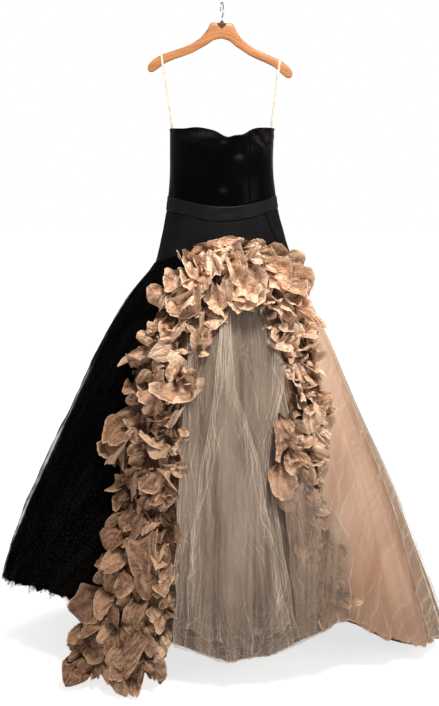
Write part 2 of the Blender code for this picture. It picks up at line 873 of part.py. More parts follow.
def build_loops():
    """Ribbon loops over the arms, down to the inside of the side seams."""
    half = 0.5 * RIBBON_WIDTH
    enter_z = neck_height(90.0) + 0.008
    levels = (enter_z, 0.5 * (enter_z + LOOP_FOOT), LOOP_FOOT)
    arm_foot = arm_height(LOOP_REACH, "upper") - arm_height(LOOP_REACH, "lower")
    out = arm_height(LOOP_REACH, "half_depth") + SEAM_GAP
    lift = SEAM_GAP + 0.0012
    for name, side in (("loop_left", -1.0), ("loop_right", 1.0)):
        over = tilted(Vector((side * LOOP_REACH, 0.0, arm_height(LOOP_REACH, "upper"))))
        near = LOOP_REACH + 0.004
        beside = tilted(Vector((side * near, 0.0, arm_height(near, "upper"))))
        slope = (beside.z - over.z) / (beside.x - over.x)
        wall_reach = min(abs(form_point(90.0 * side, z, -CLOTH).x) for z in levels)
        foot_x = side * (wall_reach - half - LOOP_SEAT)
        route = [
            (0.0, over.z + lift),
            (0.55 * out, over.z + lift - 0.0002),
            (out, over.z - 0.0012),
            (out + 0.0003, over.z - 0.010),
            (out, over.z - arm_foot - 0.004),
            (0.0045, over.z - 0.085),
            (0.0028, -0.290),
            (0.0020, enter_z),
            (0.0009, LOOP_FOOT + 0.010),
        ]
        path = route + [(0.0, LOOP_FOOT)] + [(-y, z) for y, z in reversed(route[1:])]
        corners = (
            (-half, 0.0),
            (half, 0.0),
            (half, RIBBON_THICKNESS),
            (-half, RIBBON_THICKNESS),
        )
        rings = []
        for i, (y, z) in enumerate(path):
            before = path[i - 1]
            after = path[(i + 1) % len(path)]
            run = Vector((after[0] - before[0], after[1] - before[1])).normalized()
            normal = Vector((run.y, -run.x))
            share = (over.z - z) / (over.z - enter_z)
            x = over.x + (foot_x - over.x) * min(1.0, max(0.0, share))
            near_top = max(0.0, 1.0 - (over.z + lift - z) / 0.05)
            ring = []
            for across, push in corners:
                py = y - normal.x * push
                pz = z - normal.y * push + across * slope * near_top
                ring.append(Vector((x + across, py, pz)))
            rings.append(ring)
        add_tube(name, rings, "ribbon", closed=True)


def build_slider(seat):
    """The slider of the concealed zip: a plate with a hollow bridge on it."""
    face = seat + PLATE_DEPTH
    top = face + BRIDGE_RISE
    under = top - BRIDGE_BAR
    plate = (
        (seat, -PLATE_HALF_LENGTH),
        (face, -PLATE_HALF_LENGTH),
        (face, PLATE_HALF_LENGTH),
        (seat, PLATE_HALF_LENGTH),
    )
    post = BRIDGE_HALF_LENGTH - BRIDGE_BAR
    bridge = (
        (face, -BRIDGE_HALF_LENGTH),
        (top, -BRIDGE_HALF_LENGTH + 0.0006),
        (top, BRIDGE_HALF_LENGTH - 0.0006),
        (face, BRIDGE_HALF_LENGTH),
        (face, post),
        (under, post),
        (under, -post),
        (face, -post),
    )
    points = []
    for x in (-PLATE_HALF_WIDTH, PLATE_HALF_WIDTH):
        points += [Vector((x, y, ZIP_HEIGHT + z)) for y, z in plate]
    rings = []
    for x in (-BRIDGE_HALF_WIDTH, BRIDGE_HALF_WIDTH):
        rings.append(range(len(points), len(points) + len(bridge)))
        points += [Vector((x, y, ZIP_HEIGHT + z)) for y, z in bridge]
    left, right = rings
    faces = square(0, 1, 2, 3) + square(7, 6, 5, 4) + square(0, 4, 5, 1)
    faces += square(2, 6, 7, 3) + square(3, 7, 4, 0)
    # The plate's face round the two posts of the bridge.
    faces += square(1, 5, right[0], left[0])
    faces += square(left[3], right[3], 6, 2)
    faces += square(left[7], right[7], right[4], left[4])
    faces += [(1, left[0], left[7]), (1, left[7], left[4]), (1, left[4], 2), (left[4], left[3], 2)]
    faces += [(5, right[7], right[0]), (5, right[4], right[7]), (5, 6, right[4])]
    faces += [(right[4], 6, right[3])]
    # The bridge's sides and its rims.
    for a, b, c, d in ((0, 1, 6, 7), (1, 2, 5, 6), (2, 3, 4, 5)):
        faces += square(left[a], left[b], left[c], left[d])
        faces += square(right[d], right[c], right[b], right[a])
    for a, b in ((0, 1), (1, 2), (2, 3), (4, 5), (5, 6), (6, 7)):
        faces += square(left[a], right[a], right[b], left[b])
    make_consistent(add_object("zip_slider", points, faces, "zip_metal"))


def build_pull(axis_y):
    """The pull: a crossbar in the bridge, two arms round it and a tab below."""
    eye_half, eye_top, eye_foot = PULL_EYE
    rim = list(PULL_EDGE) + [(-x, z) for x, z in reversed(PULL_EDGE)]
    eye = [(eye_half, eye_top), (eye_half, eye_foot), (-eye_half, eye_foot), (-eye_half, eye_top)]
    outline = rim + eye
    points = []
    for y in (-0.5 * PULL_THICKNESS, 0.5 * PULL_THICKNESS):
        points += [Vector((x, y, z)) for x, z in outline]
    end = len(rim) - 1
    first = len(rim)
    layer = len(outline)
    side = square(0, end, first + 3, first) + square(0, first, first + 1, 1)
    side += square(end, end - 1, first + 2, first + 3)
    side += square(1, first + 1, first + 2, end - 1)
    for i in range(1, len(PULL_EDGE) - 1):
        side += square(i, end - i, end - i - 1, i + 1)
    faces = side + [tuple(i + layer for i in reversed(face)) for face in side]
    for i in range(first):
        j = (i + 1) % first
        faces += square(i, j, j + layer, i + layer)
    for i in range(4):
        j = (i + 1) % 4
        faces += square(first + j, first + i, first + i + layer, first + j + layer)
    pull = add_object("zip_pull", points, faces, "zip_metal")
    pull.location = (0.0, axis_y, ZIP_HEIGHT)
    make_consistent(pull)


def build_zip():
    """What shows of the concealed zip, at the top of the centre back."""
    heights = (
        ZIP_HEIGHT + PLATE_HALF_LENGTH,
        ZIP_HEIGHT - PLATE_HALF_LENGTH,
        ZIP_HEIGHT + PULL_EDGE[-1][1],
    )
    seat = max(form_point(180.0, height).y for height in heights) + SEAM_GAP
    build_slider(seat)
    build_pull(seat + PLATE_DEPTH + 0.5 * (BRIDGE_RISE - BRIDGE_BAR))


def make_consistent(item):
    """Turns all faces the same way, then outward."""
    shape = bmesh.new()
    shape.from_mesh(item.data)
    bmesh.ops.recalc_face_normals(shape, faces=shape.faces)
    shape.to_mesh(item.data)
    shape.free()
    turn_outward(item)


def main():
    clear_scene()
    build_hook()
    build_collar()
    build_hanger_bar()
    build_loops()
    build_bodice()
    build_waistband()
    build_yoke()
    build_zip()
    build_underskirt()
    build_skirt()
    for settings in RUFFLE_SETS:
        build_ruffle(*settings)


main()
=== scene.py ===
import math
import random

import bpy
import numpy as np
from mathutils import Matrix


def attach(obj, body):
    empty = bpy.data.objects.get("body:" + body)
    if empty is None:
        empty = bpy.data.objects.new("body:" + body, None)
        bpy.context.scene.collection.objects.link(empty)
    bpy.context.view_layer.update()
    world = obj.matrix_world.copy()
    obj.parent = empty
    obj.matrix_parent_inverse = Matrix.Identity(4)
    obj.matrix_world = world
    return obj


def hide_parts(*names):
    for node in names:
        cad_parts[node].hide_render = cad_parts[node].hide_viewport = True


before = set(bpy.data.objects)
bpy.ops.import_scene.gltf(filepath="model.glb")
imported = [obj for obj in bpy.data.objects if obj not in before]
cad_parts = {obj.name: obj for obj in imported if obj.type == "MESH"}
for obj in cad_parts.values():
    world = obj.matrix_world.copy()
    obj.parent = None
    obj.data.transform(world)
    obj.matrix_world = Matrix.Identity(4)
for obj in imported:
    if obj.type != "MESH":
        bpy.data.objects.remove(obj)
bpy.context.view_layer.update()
print("frame loaded:", len(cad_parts), "nodes")

# The dress faces -Y. An angle goes round it: 0 centre front, 90 right side,
# 180 centre back, -90 left side. Heights are metres below the rail.

# height, left, right, front, back: half widths and depths of the dress
bodyForm = np.array([
    (-1.850, 0.715, 0.690, 0.348, 0.384), (-1.600, 0.645, 0.596, 0.326, 0.350),
    (-1.375, 0.550, 0.508, 0.296, 0.312), (-1.120, 0.424, 0.388, 0.252, 0.262),
    (-0.940, 0.340, 0.308, 0.214, 0.216), (-0.820, 0.274, 0.253, 0.182, 0.182),
    (-0.765, 0.234, 0.235, 0.164, 0.162), (-0.730, 0.205, 0.222, 0.152, 0.148),
    (-0.700, 0.188, 0.204, 0.140, 0.136), (-0.640, 0.174, 0.182, 0.126, 0.120),
    (-0.560, 0.158, 0.160, 0.112, 0.104), (-0.480, 0.149, 0.147, 0.109, 0.098),
    (-0.400, 0.146, 0.143, 0.111, 0.096), (-0.325, 0.146, 0.146, 0.110, 0.094),
])

# angle, band top, band foot, skirt seam, hem
seamHeights = np.array([
    (-180, -0.5200, -0.5600, -0.715, -1.790), (-135, -0.5200, -0.5600, -0.715, -1.755),
    (-90, -0.5210, -0.5610, -0.712, -1.695), (-60, -0.5240, -0.5640, -0.697, -1.645),
    (-45, -0.5290, -0.5680, -0.684, -1.645), (-30, -0.5350, -0.5750, -0.670, -1.695),
    (-12, -0.5420, -0.5840, -0.660, -1.735), (0, -0.5435, -0.5855, -0.655, -1.780),
    (10, -0.5435, -0.5845, -0.653, -1.772), (22, -0.5400, -0.5800, -0.654, -1.730),
    (34, -0.5350, -0.5740, -0.657, -1.700), (48, -0.5300, -0.5650, -0.661, -1.782),
    (64, -0.5240, -0.5590, -0.670, -1.840), (90, -0.5180, -0.5540, -0.686, -1.845),
    (135, -0.5180, -0.5560, -0.705, -1.822), (180, -0.5200, -0.5600, -0.715, -1.790),
])
neck, bandTop, bandFoot, skirtSeam, hem = 0, 1, 2, 3, 4  # the neck has a table of its own
halfSeam = 0.00015

# angle, height of the neckline
neckline = np.array([
    (-180, -0.362), (-140, -0.357), (-100, -0.339), (-73, -0.335), (-45, -0.335), (-28, -0.332),
    (-16, -0.336), (-7, -0.342), (5, -0.357), (14, -0.353), (23, -0.350), (34, -0.337), (46, -0.333),
    (85, -0.335), (100, -0.339), (140, -0.357), (180, -0.362),
])

# x, height, spread, rise of each cup
cups = ((-0.068, -0.398, 0.044, 0.012), (0.072, -0.400, 0.044, 0.012))


def readStraight(table, column, value):
    return np.interp(value, table[:, 0], table[:, column])


def readSmooth(table, column, value):
    keys, marks = table[:, 0], table[:, column]
    slopes = np.empty(len(keys))
    slopes[1:-1] = (marks[2:] - marks[:-2]) / (keys[2:] - keys[:-2])
    slopes[0] = (marks[1] - marks[0]) / (keys[1] - keys[0])
    slopes[-1] = (marks[-1] - marks[-2]) / (keys[-1] - keys[-2])
    inside = np.clip(value, keys[0], keys[-1])
    i = np.clip(np.searchsorted(keys, inside, side="right") - 1, 0, len(keys) - 2)
    width = keys[i + 1] - keys[i]
    t = (inside - keys[i]) / width
    start = (1 + 2 * t) * (1 - t) ** 2 * marks[i] + t * (1 - t) ** 2 * width * slopes[i]
    end = t * t * (3 - 2 * t) * marks[i + 1] + t * t * (t - 1) * width * slopes[i + 1]
    return start + end + np.minimum(value - keys[0], 0.0) * slopes[0]


def wrapped(angle):
    return (np.asarray(angle, dtype=float) + 180.0) % 360.0 - 180.0


def seamHeight(angle, seam):
    table, column = (neckline, 1) if seam == neck else (seamHeights, seam)
    return readSmooth(table, column, wrapped(angle))


def formAxes(angle, height):
    turn = np.radians(angle)
    left, right, front, back = (readSmooth(bodyForm, k, height) for k in (1, 2, 3, 4))
    return np.where(np.sin(turn) > 0, right, left), np.where(np.cos(turn) > 0, front, back)


def formPoint(angle, height, out=0.0):
    angle, height, out = np.broadcast_arrays(*(np.asarray(value, float) for value in (angle, height, out)))
    halfWidth, depth = formAxes(angle, height)
    turn = np.radians(angle)
    x, y = halfWidth * np.sin(turn), -depth * np.cos(turn)
    nx, ny = np.sin(turn) / halfWidth, -np.cos(turn) / depth
    length = np.hypot(nx, ny)
    rise = np.zeros(x.shape)
    for cupX, cupZ, spread, top in cups:
        rise = rise + top * np.exp(-((x - cupX) ** 2 + (height - cupZ) ** 2) / spread ** 2)
    out = out + np.where(y < 0.0, rise, 0.0)
    return np.stack([x + nx / length * out, y + ny / length * out, height], axis=-1)


def metresPerDegree(angle, height):
    halfWidth, depth = formAxes(np.asarray(angle, float), np.asarray(height, float))
    turn = np.radians(angle)
    return np.hypot(halfWidth * np.cos(turn), depth * np.sin(turn)) * math.radians(1.0)


# Smooth noise between -1 and 1 over a plane, the same on each run.
def ripple(x, y, seed):
    x, y = np.broadcast_arrays(np.asarray(x, float), np.asarray(y, float))
    cellX, cellY = np.floor(x).astype(np.int64), np.floor(y).astype(np.int64)
    fx, fy = x - cellX, y - cellY
    fadeX, fadeY = (f ** 3 * (f * (f * 6 - 15) + 10) for f in (fx, fy))

    def corner(i, j):
        mixed = ((cellX + i) * 374761393 + (cellY + j) * 668265263 + seed * 974634777) & 0xFFFFFFFF
        mixed = ((mixed ^ (mixed >> 13)) * 1274126177) & 0xFFFFFFFF
        turn = (mixed ^ (mixed >> 16)) / 4294967295.0 * 2.0 * np.pi
        return np.cos(turn) * (fx - i) + np.sin(turn) * (fy - j)

    low = corner(0, 0) * (1 - fadeX) + corner(1, 0) * fadeX
    high = corner(0, 1) * (1 - fadeX) + corner(1, 1) * fadeX
    return (low * (1 - fadeY) + high * fadeY) * 1.5


# Sharp creases: 1 on a crease, falling away from it.
def crease(x, y, seed, sharpness):
    return (1.0 - np.clip(np.abs(ripple(x, y, seed)), 0.0, 1.0)) ** sharpness


def smoothStep(low, high, value):
    t = np.clip((value - low) / (high - low), 0.0, 1.0)
    return t * t * (3 - 2 * t)


# A soft hill: 1 at its middle, falling away over its width.
def bell(value, width):
    return np.exp(-(value / width) ** 2)


def addMesh(name, points, faces, material, uv=None, masks=None, smooth=True):
    mesh = bpy.data.meshes.new(name)
    mesh.from_pydata(np.asarray(points, float).reshape(-1, 3).tolist(), [], faces)
    mesh.update()
    item = bpy.data.objects.new(name, mesh)
    bpy.context.scene.collection.objects.link(item)
    mesh.materials.append(material)
    mesh.polygons.foreach_set("use_smooth", [smooth] * len(mesh.polygons))
    if uv is not None:
        corners = np.empty(len(mesh.loops), dtype=np.int32)
        mesh.loops.foreach_get("vertex_index", corners)
        layer = mesh.uv_layers.new(name="cloth")
        layer.data.foreach_set("uv", np.asarray(uv, float).reshape(-1, 2)[corners].ravel())
    for key, values in (masks or {}).items():
        mask = mesh.attributes.new(key, "FLOAT", "POINT")
        mask.data.foreach_set("value", np.asarray(values, float).ravel())
    return item


def gridFaces(rows, columns, closed=False, first=0):
    faces = []
    for r in range(rows - 1):
        for c in range(columns if closed else columns - 1):
            a, b = (first + r * columns + k for k in (c, (c + 1) % columns))
            faces.append((a + columns, b + columns, b, a))
    return faces


def addGrid(name, points, material, uv=None, masks=None, closed=False):
    return addMesh(name, points, gridFaces(*points.shape[:2], closed), material, uv, masks)


def thicken(item, thickness):
    wall = item.modifiers.new("wall", "SOLIDIFY")
    wall.thickness = thickness
    wall.offset = -1.0
    return item


def clothArea(item):
    evaluated = item.evaluated_get(bpy.context.evaluated_depsgraph_get())
    return round(sum(face.area for face in evaluated.data.polygons), 3)


def dressPiece(piece, node):
    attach(piece, "dress")
    if node:
        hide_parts(node)


# Fills the inputs of a node with values, and links those that are sockets.
def setInputs(tree, item, inputs):
    for key, value in inputs.items():
        target = item.inputs[key]
        if isinstance(value, bpy.types.NodeSocket):
            tree.links.new(value, target)
        else:
            target.default_value = (*value, 1.0) if target.type == "RGBA" else value
    return item


def addNode(tree, kind, inputs=None, **settings):
    item = tree.nodes.new(kind)
    for key, value in settings.items():
        setattr(item, key, value)
    return setInputs(tree, item, inputs or {})


def mathNode(tree, operation, a, b=0.0, clamp=False):
    return addNode(tree, "ShaderNodeMath", {0: a, 1: b}, operation=operation, use_clamp=clamp).outputs[0]


def times(tree, a, b, clamp=False):
    return mathNode(tree, "MULTIPLY", a, b, clamp)


def plus(tree, a, b, clamp=False):
    return mathNode(tree, "ADD", a, b, clamp)


# What a share leaves of the whole: 1 less part of the value.
def rest(tree, value, part=1.0):
    return mathNode(tree, "SUBTRACT", 1.0, times(tree, value, part))


def vectorNode(tree, operation, a, b):
    return addNode(tree, "ShaderNodeVectorMath", {0: a, 1: b}, operation=operation).outputs[0]


def joined(tree, x, y, z):
    return addNode(tree, "ShaderNodeCombineXYZ", {0: x, 1: y, 2: z}).outputs[0]


def mapped(tree, place, **changes):
    return addNode(tree, "ShaderNodeMapping", {"Vector": place, **changes}).outputs[0]


def noise(tree, place, scale, detail, roughness=0.5, space="3D"):
    settings = {"Vector": place, "Scale": scale, "Detail": detail, "Roughness": roughness}
    return addNode(tree, "ShaderNodeTexNoise", settings, noise_dimensions=space).outputs["Fac"]


def mixColour(tree, factor, a, b):
    return addNode(tree, "ShaderNodeMix", {0: factor, 6: a, 7: b}, data_type="RGBA").outputs[2]


def ramp(tree, value, low, high, start=0.0, end=1.0, soft=True):
    limits = {0: value, 1: low, 2: high, 3: start, 4: end}
    kind = "SMOOTHSTEP" if soft else "LINEAR"
    return addNode(tree, "ShaderNodeMapRange", limits, interpolation_type=kind).outputs[0]


# A shader group: a place on the cloth and named numbers go in, heights and masks come out.
def newGroup(name, numbers, outputs):
    group = bpy.data.node_groups.new(name, "ShaderNodeTree")
    group.interface.new_socket("Place", in_out="INPUT", socket_type="NodeSocketVector")
    for label, value in numbers.items():
        socket = group.interface.new_socket(label, in_out="INPUT", socket_type="NodeSocketFloat")
        socket.default_value = value
    for label in outputs:
        group.interface.new_socket(label, in_out="OUTPUT", socket_type="NodeSocketFloat")
    return group, group.nodes.new("NodeGroupInput").outputs, group.nodes.new("NodeGroupOutput")


def useGroup(tree, group, inputs):
    return addNode(tree, "ShaderNodeGroup", inputs, node_tree=group).outputs


# Woven threads: height of the weave, for satin, crepe and ribbon.
def makeWeaveGroup():
    group, given, made = newGroup("wovenThreads", {"Threads": 900.0}, ("Height",))
    inputs = {0: given["Place"], 3: given["Threads"]}
    scaled = addNode(group, "ShaderNodeVectorMath", inputs, operation="SCALE")
    parts = addNode(group, "ShaderNodeSeparateXYZ", {0: scaled.outputs[0]}).outputs
    warp = mathNode(group, "SINE", plus(group, parts[0], times(group, parts[1], 0.5)))
    weft = mathNode(group, "SINE", parts[1])
    setInputs(group, made, {"Height": plus(group, times(group, warp, 0.6), times(group, weft, 0.4))})
    return group


# Each family of threads: its turn, threads and sway against the main ones, strength, crossing.
strandFamilies = (
    (0.0, 1.0, 1.0, 1.0, False), (0.16, 0.6, 1.3, 0.8, False), (-0.20, 0.6, 1.3, 0.8, False),
    (0.75, 0.5, 1.3, 0.8, True), (-0.80, 0.5, 1.3, 0.8, True), (1.45, 0.6, 1.2, 0.9, True),
)


# Crushed cloth: long fine threads that follow the hang, soft streaks and a height.
def makeStrandGroup():
    group, given, made = newGroup(
        "crushedStrands", {"Count": 60.0, "Bend": 4.0, "Width": 0.10, "Cross": 0.5, "Seed": 0.0},
        ("Lines", "Streaks", "Height"),
    )
    place, seed = given["Place"], given["Seed"]
    shift = joined(group, seed, seed, seed)
    total = None
    for turn, threads, sway, strength, crossing in strandFamilies:
        turned = mapped(group, place, Rotation=(0.0, 0.0, turn))
        moved = vectorNode(group, "ADD", turned, shift)
        wave = noise(group, vectorNode(group, "MULTIPLY", moved, (7.0, 3.5, 1.0)), 1.0, 3.0, 0.45, "2D")
        bend = times(group, times(group, given["Bend"], sway), mathNode(group, "SUBTRACT", wave, 0.5))
        parts = addNode(group, "ShaderNodeSeparateXYZ", {0: turned}).outputs
        course = plus(group, times(group, parts[0], times(group, given["Count"], threads)), bend)
        near = mathNode(group, "PINGPONG", course, 0.5)
        line = ramp(group, near, 0.0, given["Width"], strength, 0.0, soft=False)
        # Each thread fades by itself along its length.
        own = times(group, mathNode(group, "FLOOR", plus(group, course, 0.5)), 7.31)
        shown = noise(group, joined(group, own, times(group, parts[1], 3.0), seed), 1.0, 1.0)
        line = times(group, line, ramp(group, shown, 0.44, 0.66))
        if crossing:
            line = times(group, line, given["Cross"])
        total = line if total is None else plus(group, total, line)
    lines = mathNode(group, "MINIMUM", total, 1.0)
    streakPlace = vectorNode(group, "ADD", vectorNode(group, "MULTIPLY", place, (42.0, 1.3, 1.0)), shift)
    streaks = noise(group, streakPlace, 1.0, 4.0, 0.6, "2D")
    setInputs(group, made, {
        "Lines": lines, "Streaks": ramp(group, streaks, 0.28, 0.72),
        "Height": plus(group, times(group, lines, 0.4), streaks),
    })
    return group


# Wood: thin darker lines that follow the arm, and softer bands.
def makeGrainGroup():
    group, given, made = newGroup("woodGrain", {}, ("Grain", "Height"))
    field = noise(group, mapped(group, given["Place"], Scale=(5.0, 130.0, 1.0)), 1.0, 3.0, 0.5, "2D")
    rings = mathNode(group, "PINGPONG", times(group, field, 6.0), 0.5)
    lines, bands = ramp(group, rings, 0.0, 0.22, 1.0, 0.0), ramp(group, field, 0.35, 0.65)
    grain = plus(group, times(group, lines, 0.60), times(group, bands, 0.40))
    setInputs(group, made, {"Grain": grain, "Height": plus(group, grain, field)})
    return group


weaveGroup, strandGroup, grainGroup = makeWeaveGroup(), makeStrandGroup(), makeGrainGroup()


# The fixed values are set on the shader's own sockets.
def startMaterial(name, fixed):
    material = bpy.data.materials.new(name)
    material.use_nodes = True
    tree = material.node_tree
    return material, tree, setInputs(tree, tree.nodes["Principled BSDF"], fixed)


def clothPlace(tree):
    return tree.nodes.new("ShaderNodeUVMap").outputs[0]


def readMask(tree, name):
    return addNode(tree, "ShaderNodeAttribute", attribute_name=name).outputs["Fac"]


def addBump(tree, shader, height, strength, distance):
    bump = addNode(tree, "ShaderNodeBump", {"Height": height, "Strength": strength, "Distance": distance})
    setInputs(tree, shader, {"Normal": bump.outputs[0]})


# Each look starts from the one that it is like, and changes what it names.
def fullLooks(looks, base=None):
    full = {}
    for name, look in looks.items():
        full[name] = {**(full[look["like"]] if "like" in look else base or {}), **look}
    return full


# A look's painted-light colour is painted highlight on the satins and painted shade in the crepe's groove.
wovenLooks = fullLooks({
    "blackSatin": {
        "dark": (0.0006, 0.0006, 0.0008), "light": (0.0012, 0.0012, 0.0015), "mark": (0.040, 0.034, 0.032),
        "gloss": (0.22, 0.34), "fixed": {"Specular IOR Level": 0.045}, "threads": 5200.0, "cloudScale": 9.0,
        "weaveDepth": 0.05, "cloudDepth": 1.0, "bump": 0.16,
    },
    "bandSatin": {
        "like": "blackSatin", "dark": (0.0060, 0.0056, 0.0060), "light": (0.0105, 0.0098, 0.0102),
        "gloss": (0.35, 0.50), "fixed": {"Specular IOR Level": 0.10},
    },
    "blackCrepe": {
        "dark": (0.0050, 0.0046, 0.0052), "light": (0.0085, 0.0078, 0.0088), "mark": (0.0006, 0.0006, 0.0006),
        "gloss": (0.62, 0.75), "fixed": {"Specular IOR Level": 0.08}, "threads": 3600.0, "cloudScale": 22.0,
        "weaveDepth": 0.25, "cloudDepth": 0.5, "bump": 0.25,
    },
    "creamRibbon": {
        "dark": (0.66, 0.55, 0.44), "light": (0.84, 0.74, 0.62), "gloss": (0.40, 0.55),
        "fixed": {"Specular IOR Level": 0.5, "Sheen Weight": 0.1, "Sheen Roughness": 0.45},
        "threads": 4200.0, "cloudScale": 60.0, "weaveDepth": 0.30, "cloudDepth": 0.3, "bump": 0.30,
    },
    "darkUnderlayer": {
        "dark": (0.030, 0.021, 0.016), "light": (0.065, 0.048, 0.038), "gloss": (0.75, 0.85),
        "fixed": {"Specular IOR Level": 0.2}, "threads": 2600.0, "cloudScale": 14.0,
        "weaveDepth": 0.25, "cloudDepth": 0.8, "bump": 0.3,
    },
})


def wovenMaterial(name, look):
    material, tree, shader = startMaterial(name, look["fixed"])
    place = clothPlace(tree)
    weave = useGroup(tree, weaveGroup, {"Place": place, "Threads": look["threads"]})["Height"]
    cloud = noise(tree, place, look["cloudScale"], 3.0)
    body = mixColour(tree, ramp(tree, cloud, 0.3, 0.7), look["dark"], look["light"])
    # Painted light: the masked colour is mixed in, as painted highlight on the satins and painted shade in
    # the crepe.
    if "mark" in look:
        body = mixColour(tree, readMask(tree, "mark"), body, look["mark"])
    setInputs(tree, shader, {"Base Color": body, "Roughness": ramp(tree, cloud, 0.3, 0.7, *look["gloss"])})
    height = plus(tree, times(tree, weave, look["weaveDepth"]), times(tree, cloud, look["cloudDepth"]))
    addBump(tree, shader, height, look["bump"], 0.002)
    return material


# Parts are shares of a colour, covers are shares of an opaque cloth. The head of a
# layer is its top, its foot the hem, and its lines the pale threads. The head and foot
# colours are painted light and shade by height: the head tints the top, and the foot
# darkens the cloth down the drop and towards the hem as painted shade.
tulleBase = {
    "fixed": {"Roughness": 0.75, "Specular IOR Level": 0.1}, "paintedHeadLight": 0.0, "paintedDropShade": 0.0, "paintedHemShade": 0.0,
    "count": 80.0, "bend": 2.5, "width": 0.13, "cross": 0.0, "lowCross": 0.0,
    "lineStrength": 0.20, "sideStrength": 0.2, "edgeStrength": 0.4, "bump": 0.4, "bumpDepth": 0.003,
    "cloudStretch": (7.0, 2.0, 1.0), "streakPart": 0.45, "cloudPart": 0.55, "holeScale": 55.0,
}
tulleLooks = fullLooks({
    "blackTulle": {
        "dark": (0.0004, 0.0004, 0.0005), "light": (0.0018, 0.0016, 0.0017), "line": (0.012, 0.009, 0.0075),
        "foot": (0.0010, 0.0009, 0.0010), "head": (0.0008, 0.0007, 0.0008),
        "fixed": {"Roughness": 0.75, "Specular IOR Level": 0.03},
        "count": 90.0, "bend": 5.0, "width": 0.10, "cross": 0.2, "lowCross": 0.4, "seed": 1.0,
        "lineStrength": 0.12, "sideStrength": 0.30, "edgeStrength": 0.2, "bump": 0.5,
    },
    "blackTulleSheer": {
        "like": "blackTulle", "light": (0.0050, 0.0042, 0.0038), "alpha": (0.42, 0.72),
        "lineCover": 0.30, "sideCover": 0.0, "edgeCover": 0.3, "seed": 7.0,
    },
    "taupeTulle": {
        "dark": (0.105, 0.071, 0.052), "light": (0.400, 0.300, 0.236), "line": (0.61, 0.50, 0.405),
        "foot": (0.055, 0.033, 0.024), "head": (0.18, 0.132, 0.102), "paintedHeadLight": 0.5, "paintedDropShade": 0.12,
        "paintedHemShade": 0.70, "count": 170.0, "bend": 12.0, "width": 0.15, "cross": 0.30, "lowCross": 0.7,
        "seed": 2.0, "lineStrength": 0.36, "sideStrength": 0.45, "bump": 0.6,
    },
    "taupeTulleSheer": {
        "like": "taupeTulle", "dark": (0.34, 0.258, 0.203), "light": (0.57, 0.450, 0.357),
        "line": (0.86, 0.75, 0.62), "foot": (0.16, 0.11, 0.08), "alpha": (0.0, 0.28), "lineCover": 0.70,
        "sideCover": 0.16, "edgeCover": 0.60, "lineStrength": 0.28, "sideStrength": 0.55, "edgeStrength": 0.9,
        "paintedHemShade": 0.5, "seed": 12.0, "bend": 6.0, "width": 0.10, "cross": 0.22, "lowCross": 0.40,
    },
    "taupeVeil": {
        "like": "taupeTulleSheer", "dark": (0.19, 0.125, 0.090), "light": (0.46, 0.345, 0.265),
        "alpha": (0.28, 0.62), "lineStrength": 0.20, "sideStrength": 0.10, "sideCover": 0.0,
        "cross": 0.25, "lowCross": 0.5, "seed": 22.0,
    },
    "blushTulle": {
        "dark": (0.44, 0.225, 0.134), "light": (0.76, 0.485, 0.345), "line": (0.88, 0.68, 0.54),
        "foot": (0.235, 0.145, 0.098), "head": (0.88, 0.66, 0.49), "paintedHeadLight": 0.9, "seed": 4.0,
        "paintedDropShade": 0.42, "paintedHemShade": 0.35,
    },
    "blushTulleSheer": {
        "like": "blushTulle", "dark": (0.58, 0.37, 0.25), "light": (0.80, 0.61, 0.475),
        "foot": (0.36, 0.255, 0.185), "alpha": (0.04, 0.38), "lineCover": 0.40, "sideCover": 0.22,
        "edgeCover": 0.55, "lineStrength": 0.36, "edgeStrength": 0.9, "seed": 9.0,
    },
    "nudeTulle": {
        "dark": (0.50, 0.360, 0.262), "light": (0.76, 0.60, 0.462), "line": (0.88, 0.75, 0.61),
        "foot": (0.215, 0.158, 0.120), "head": (0.86, 0.66, 0.50), "paintedHeadLight": 0.8, "seed": 5.0,
        "paintedDropShade": 0.60, "paintedHemShade": 0.3, "lowCross": 0.1,
    },
    "nudeTulleSheer": {
        "like": "nudeTulle", "alpha": (0.12, 0.45), "lineCover": 0.30, "sideCover": 0.15, "edgeCover": 0.5,
        "lineStrength": 0.4, "edgeStrength": 0.9, "seed": 15.0,
    },
}, tulleBase)


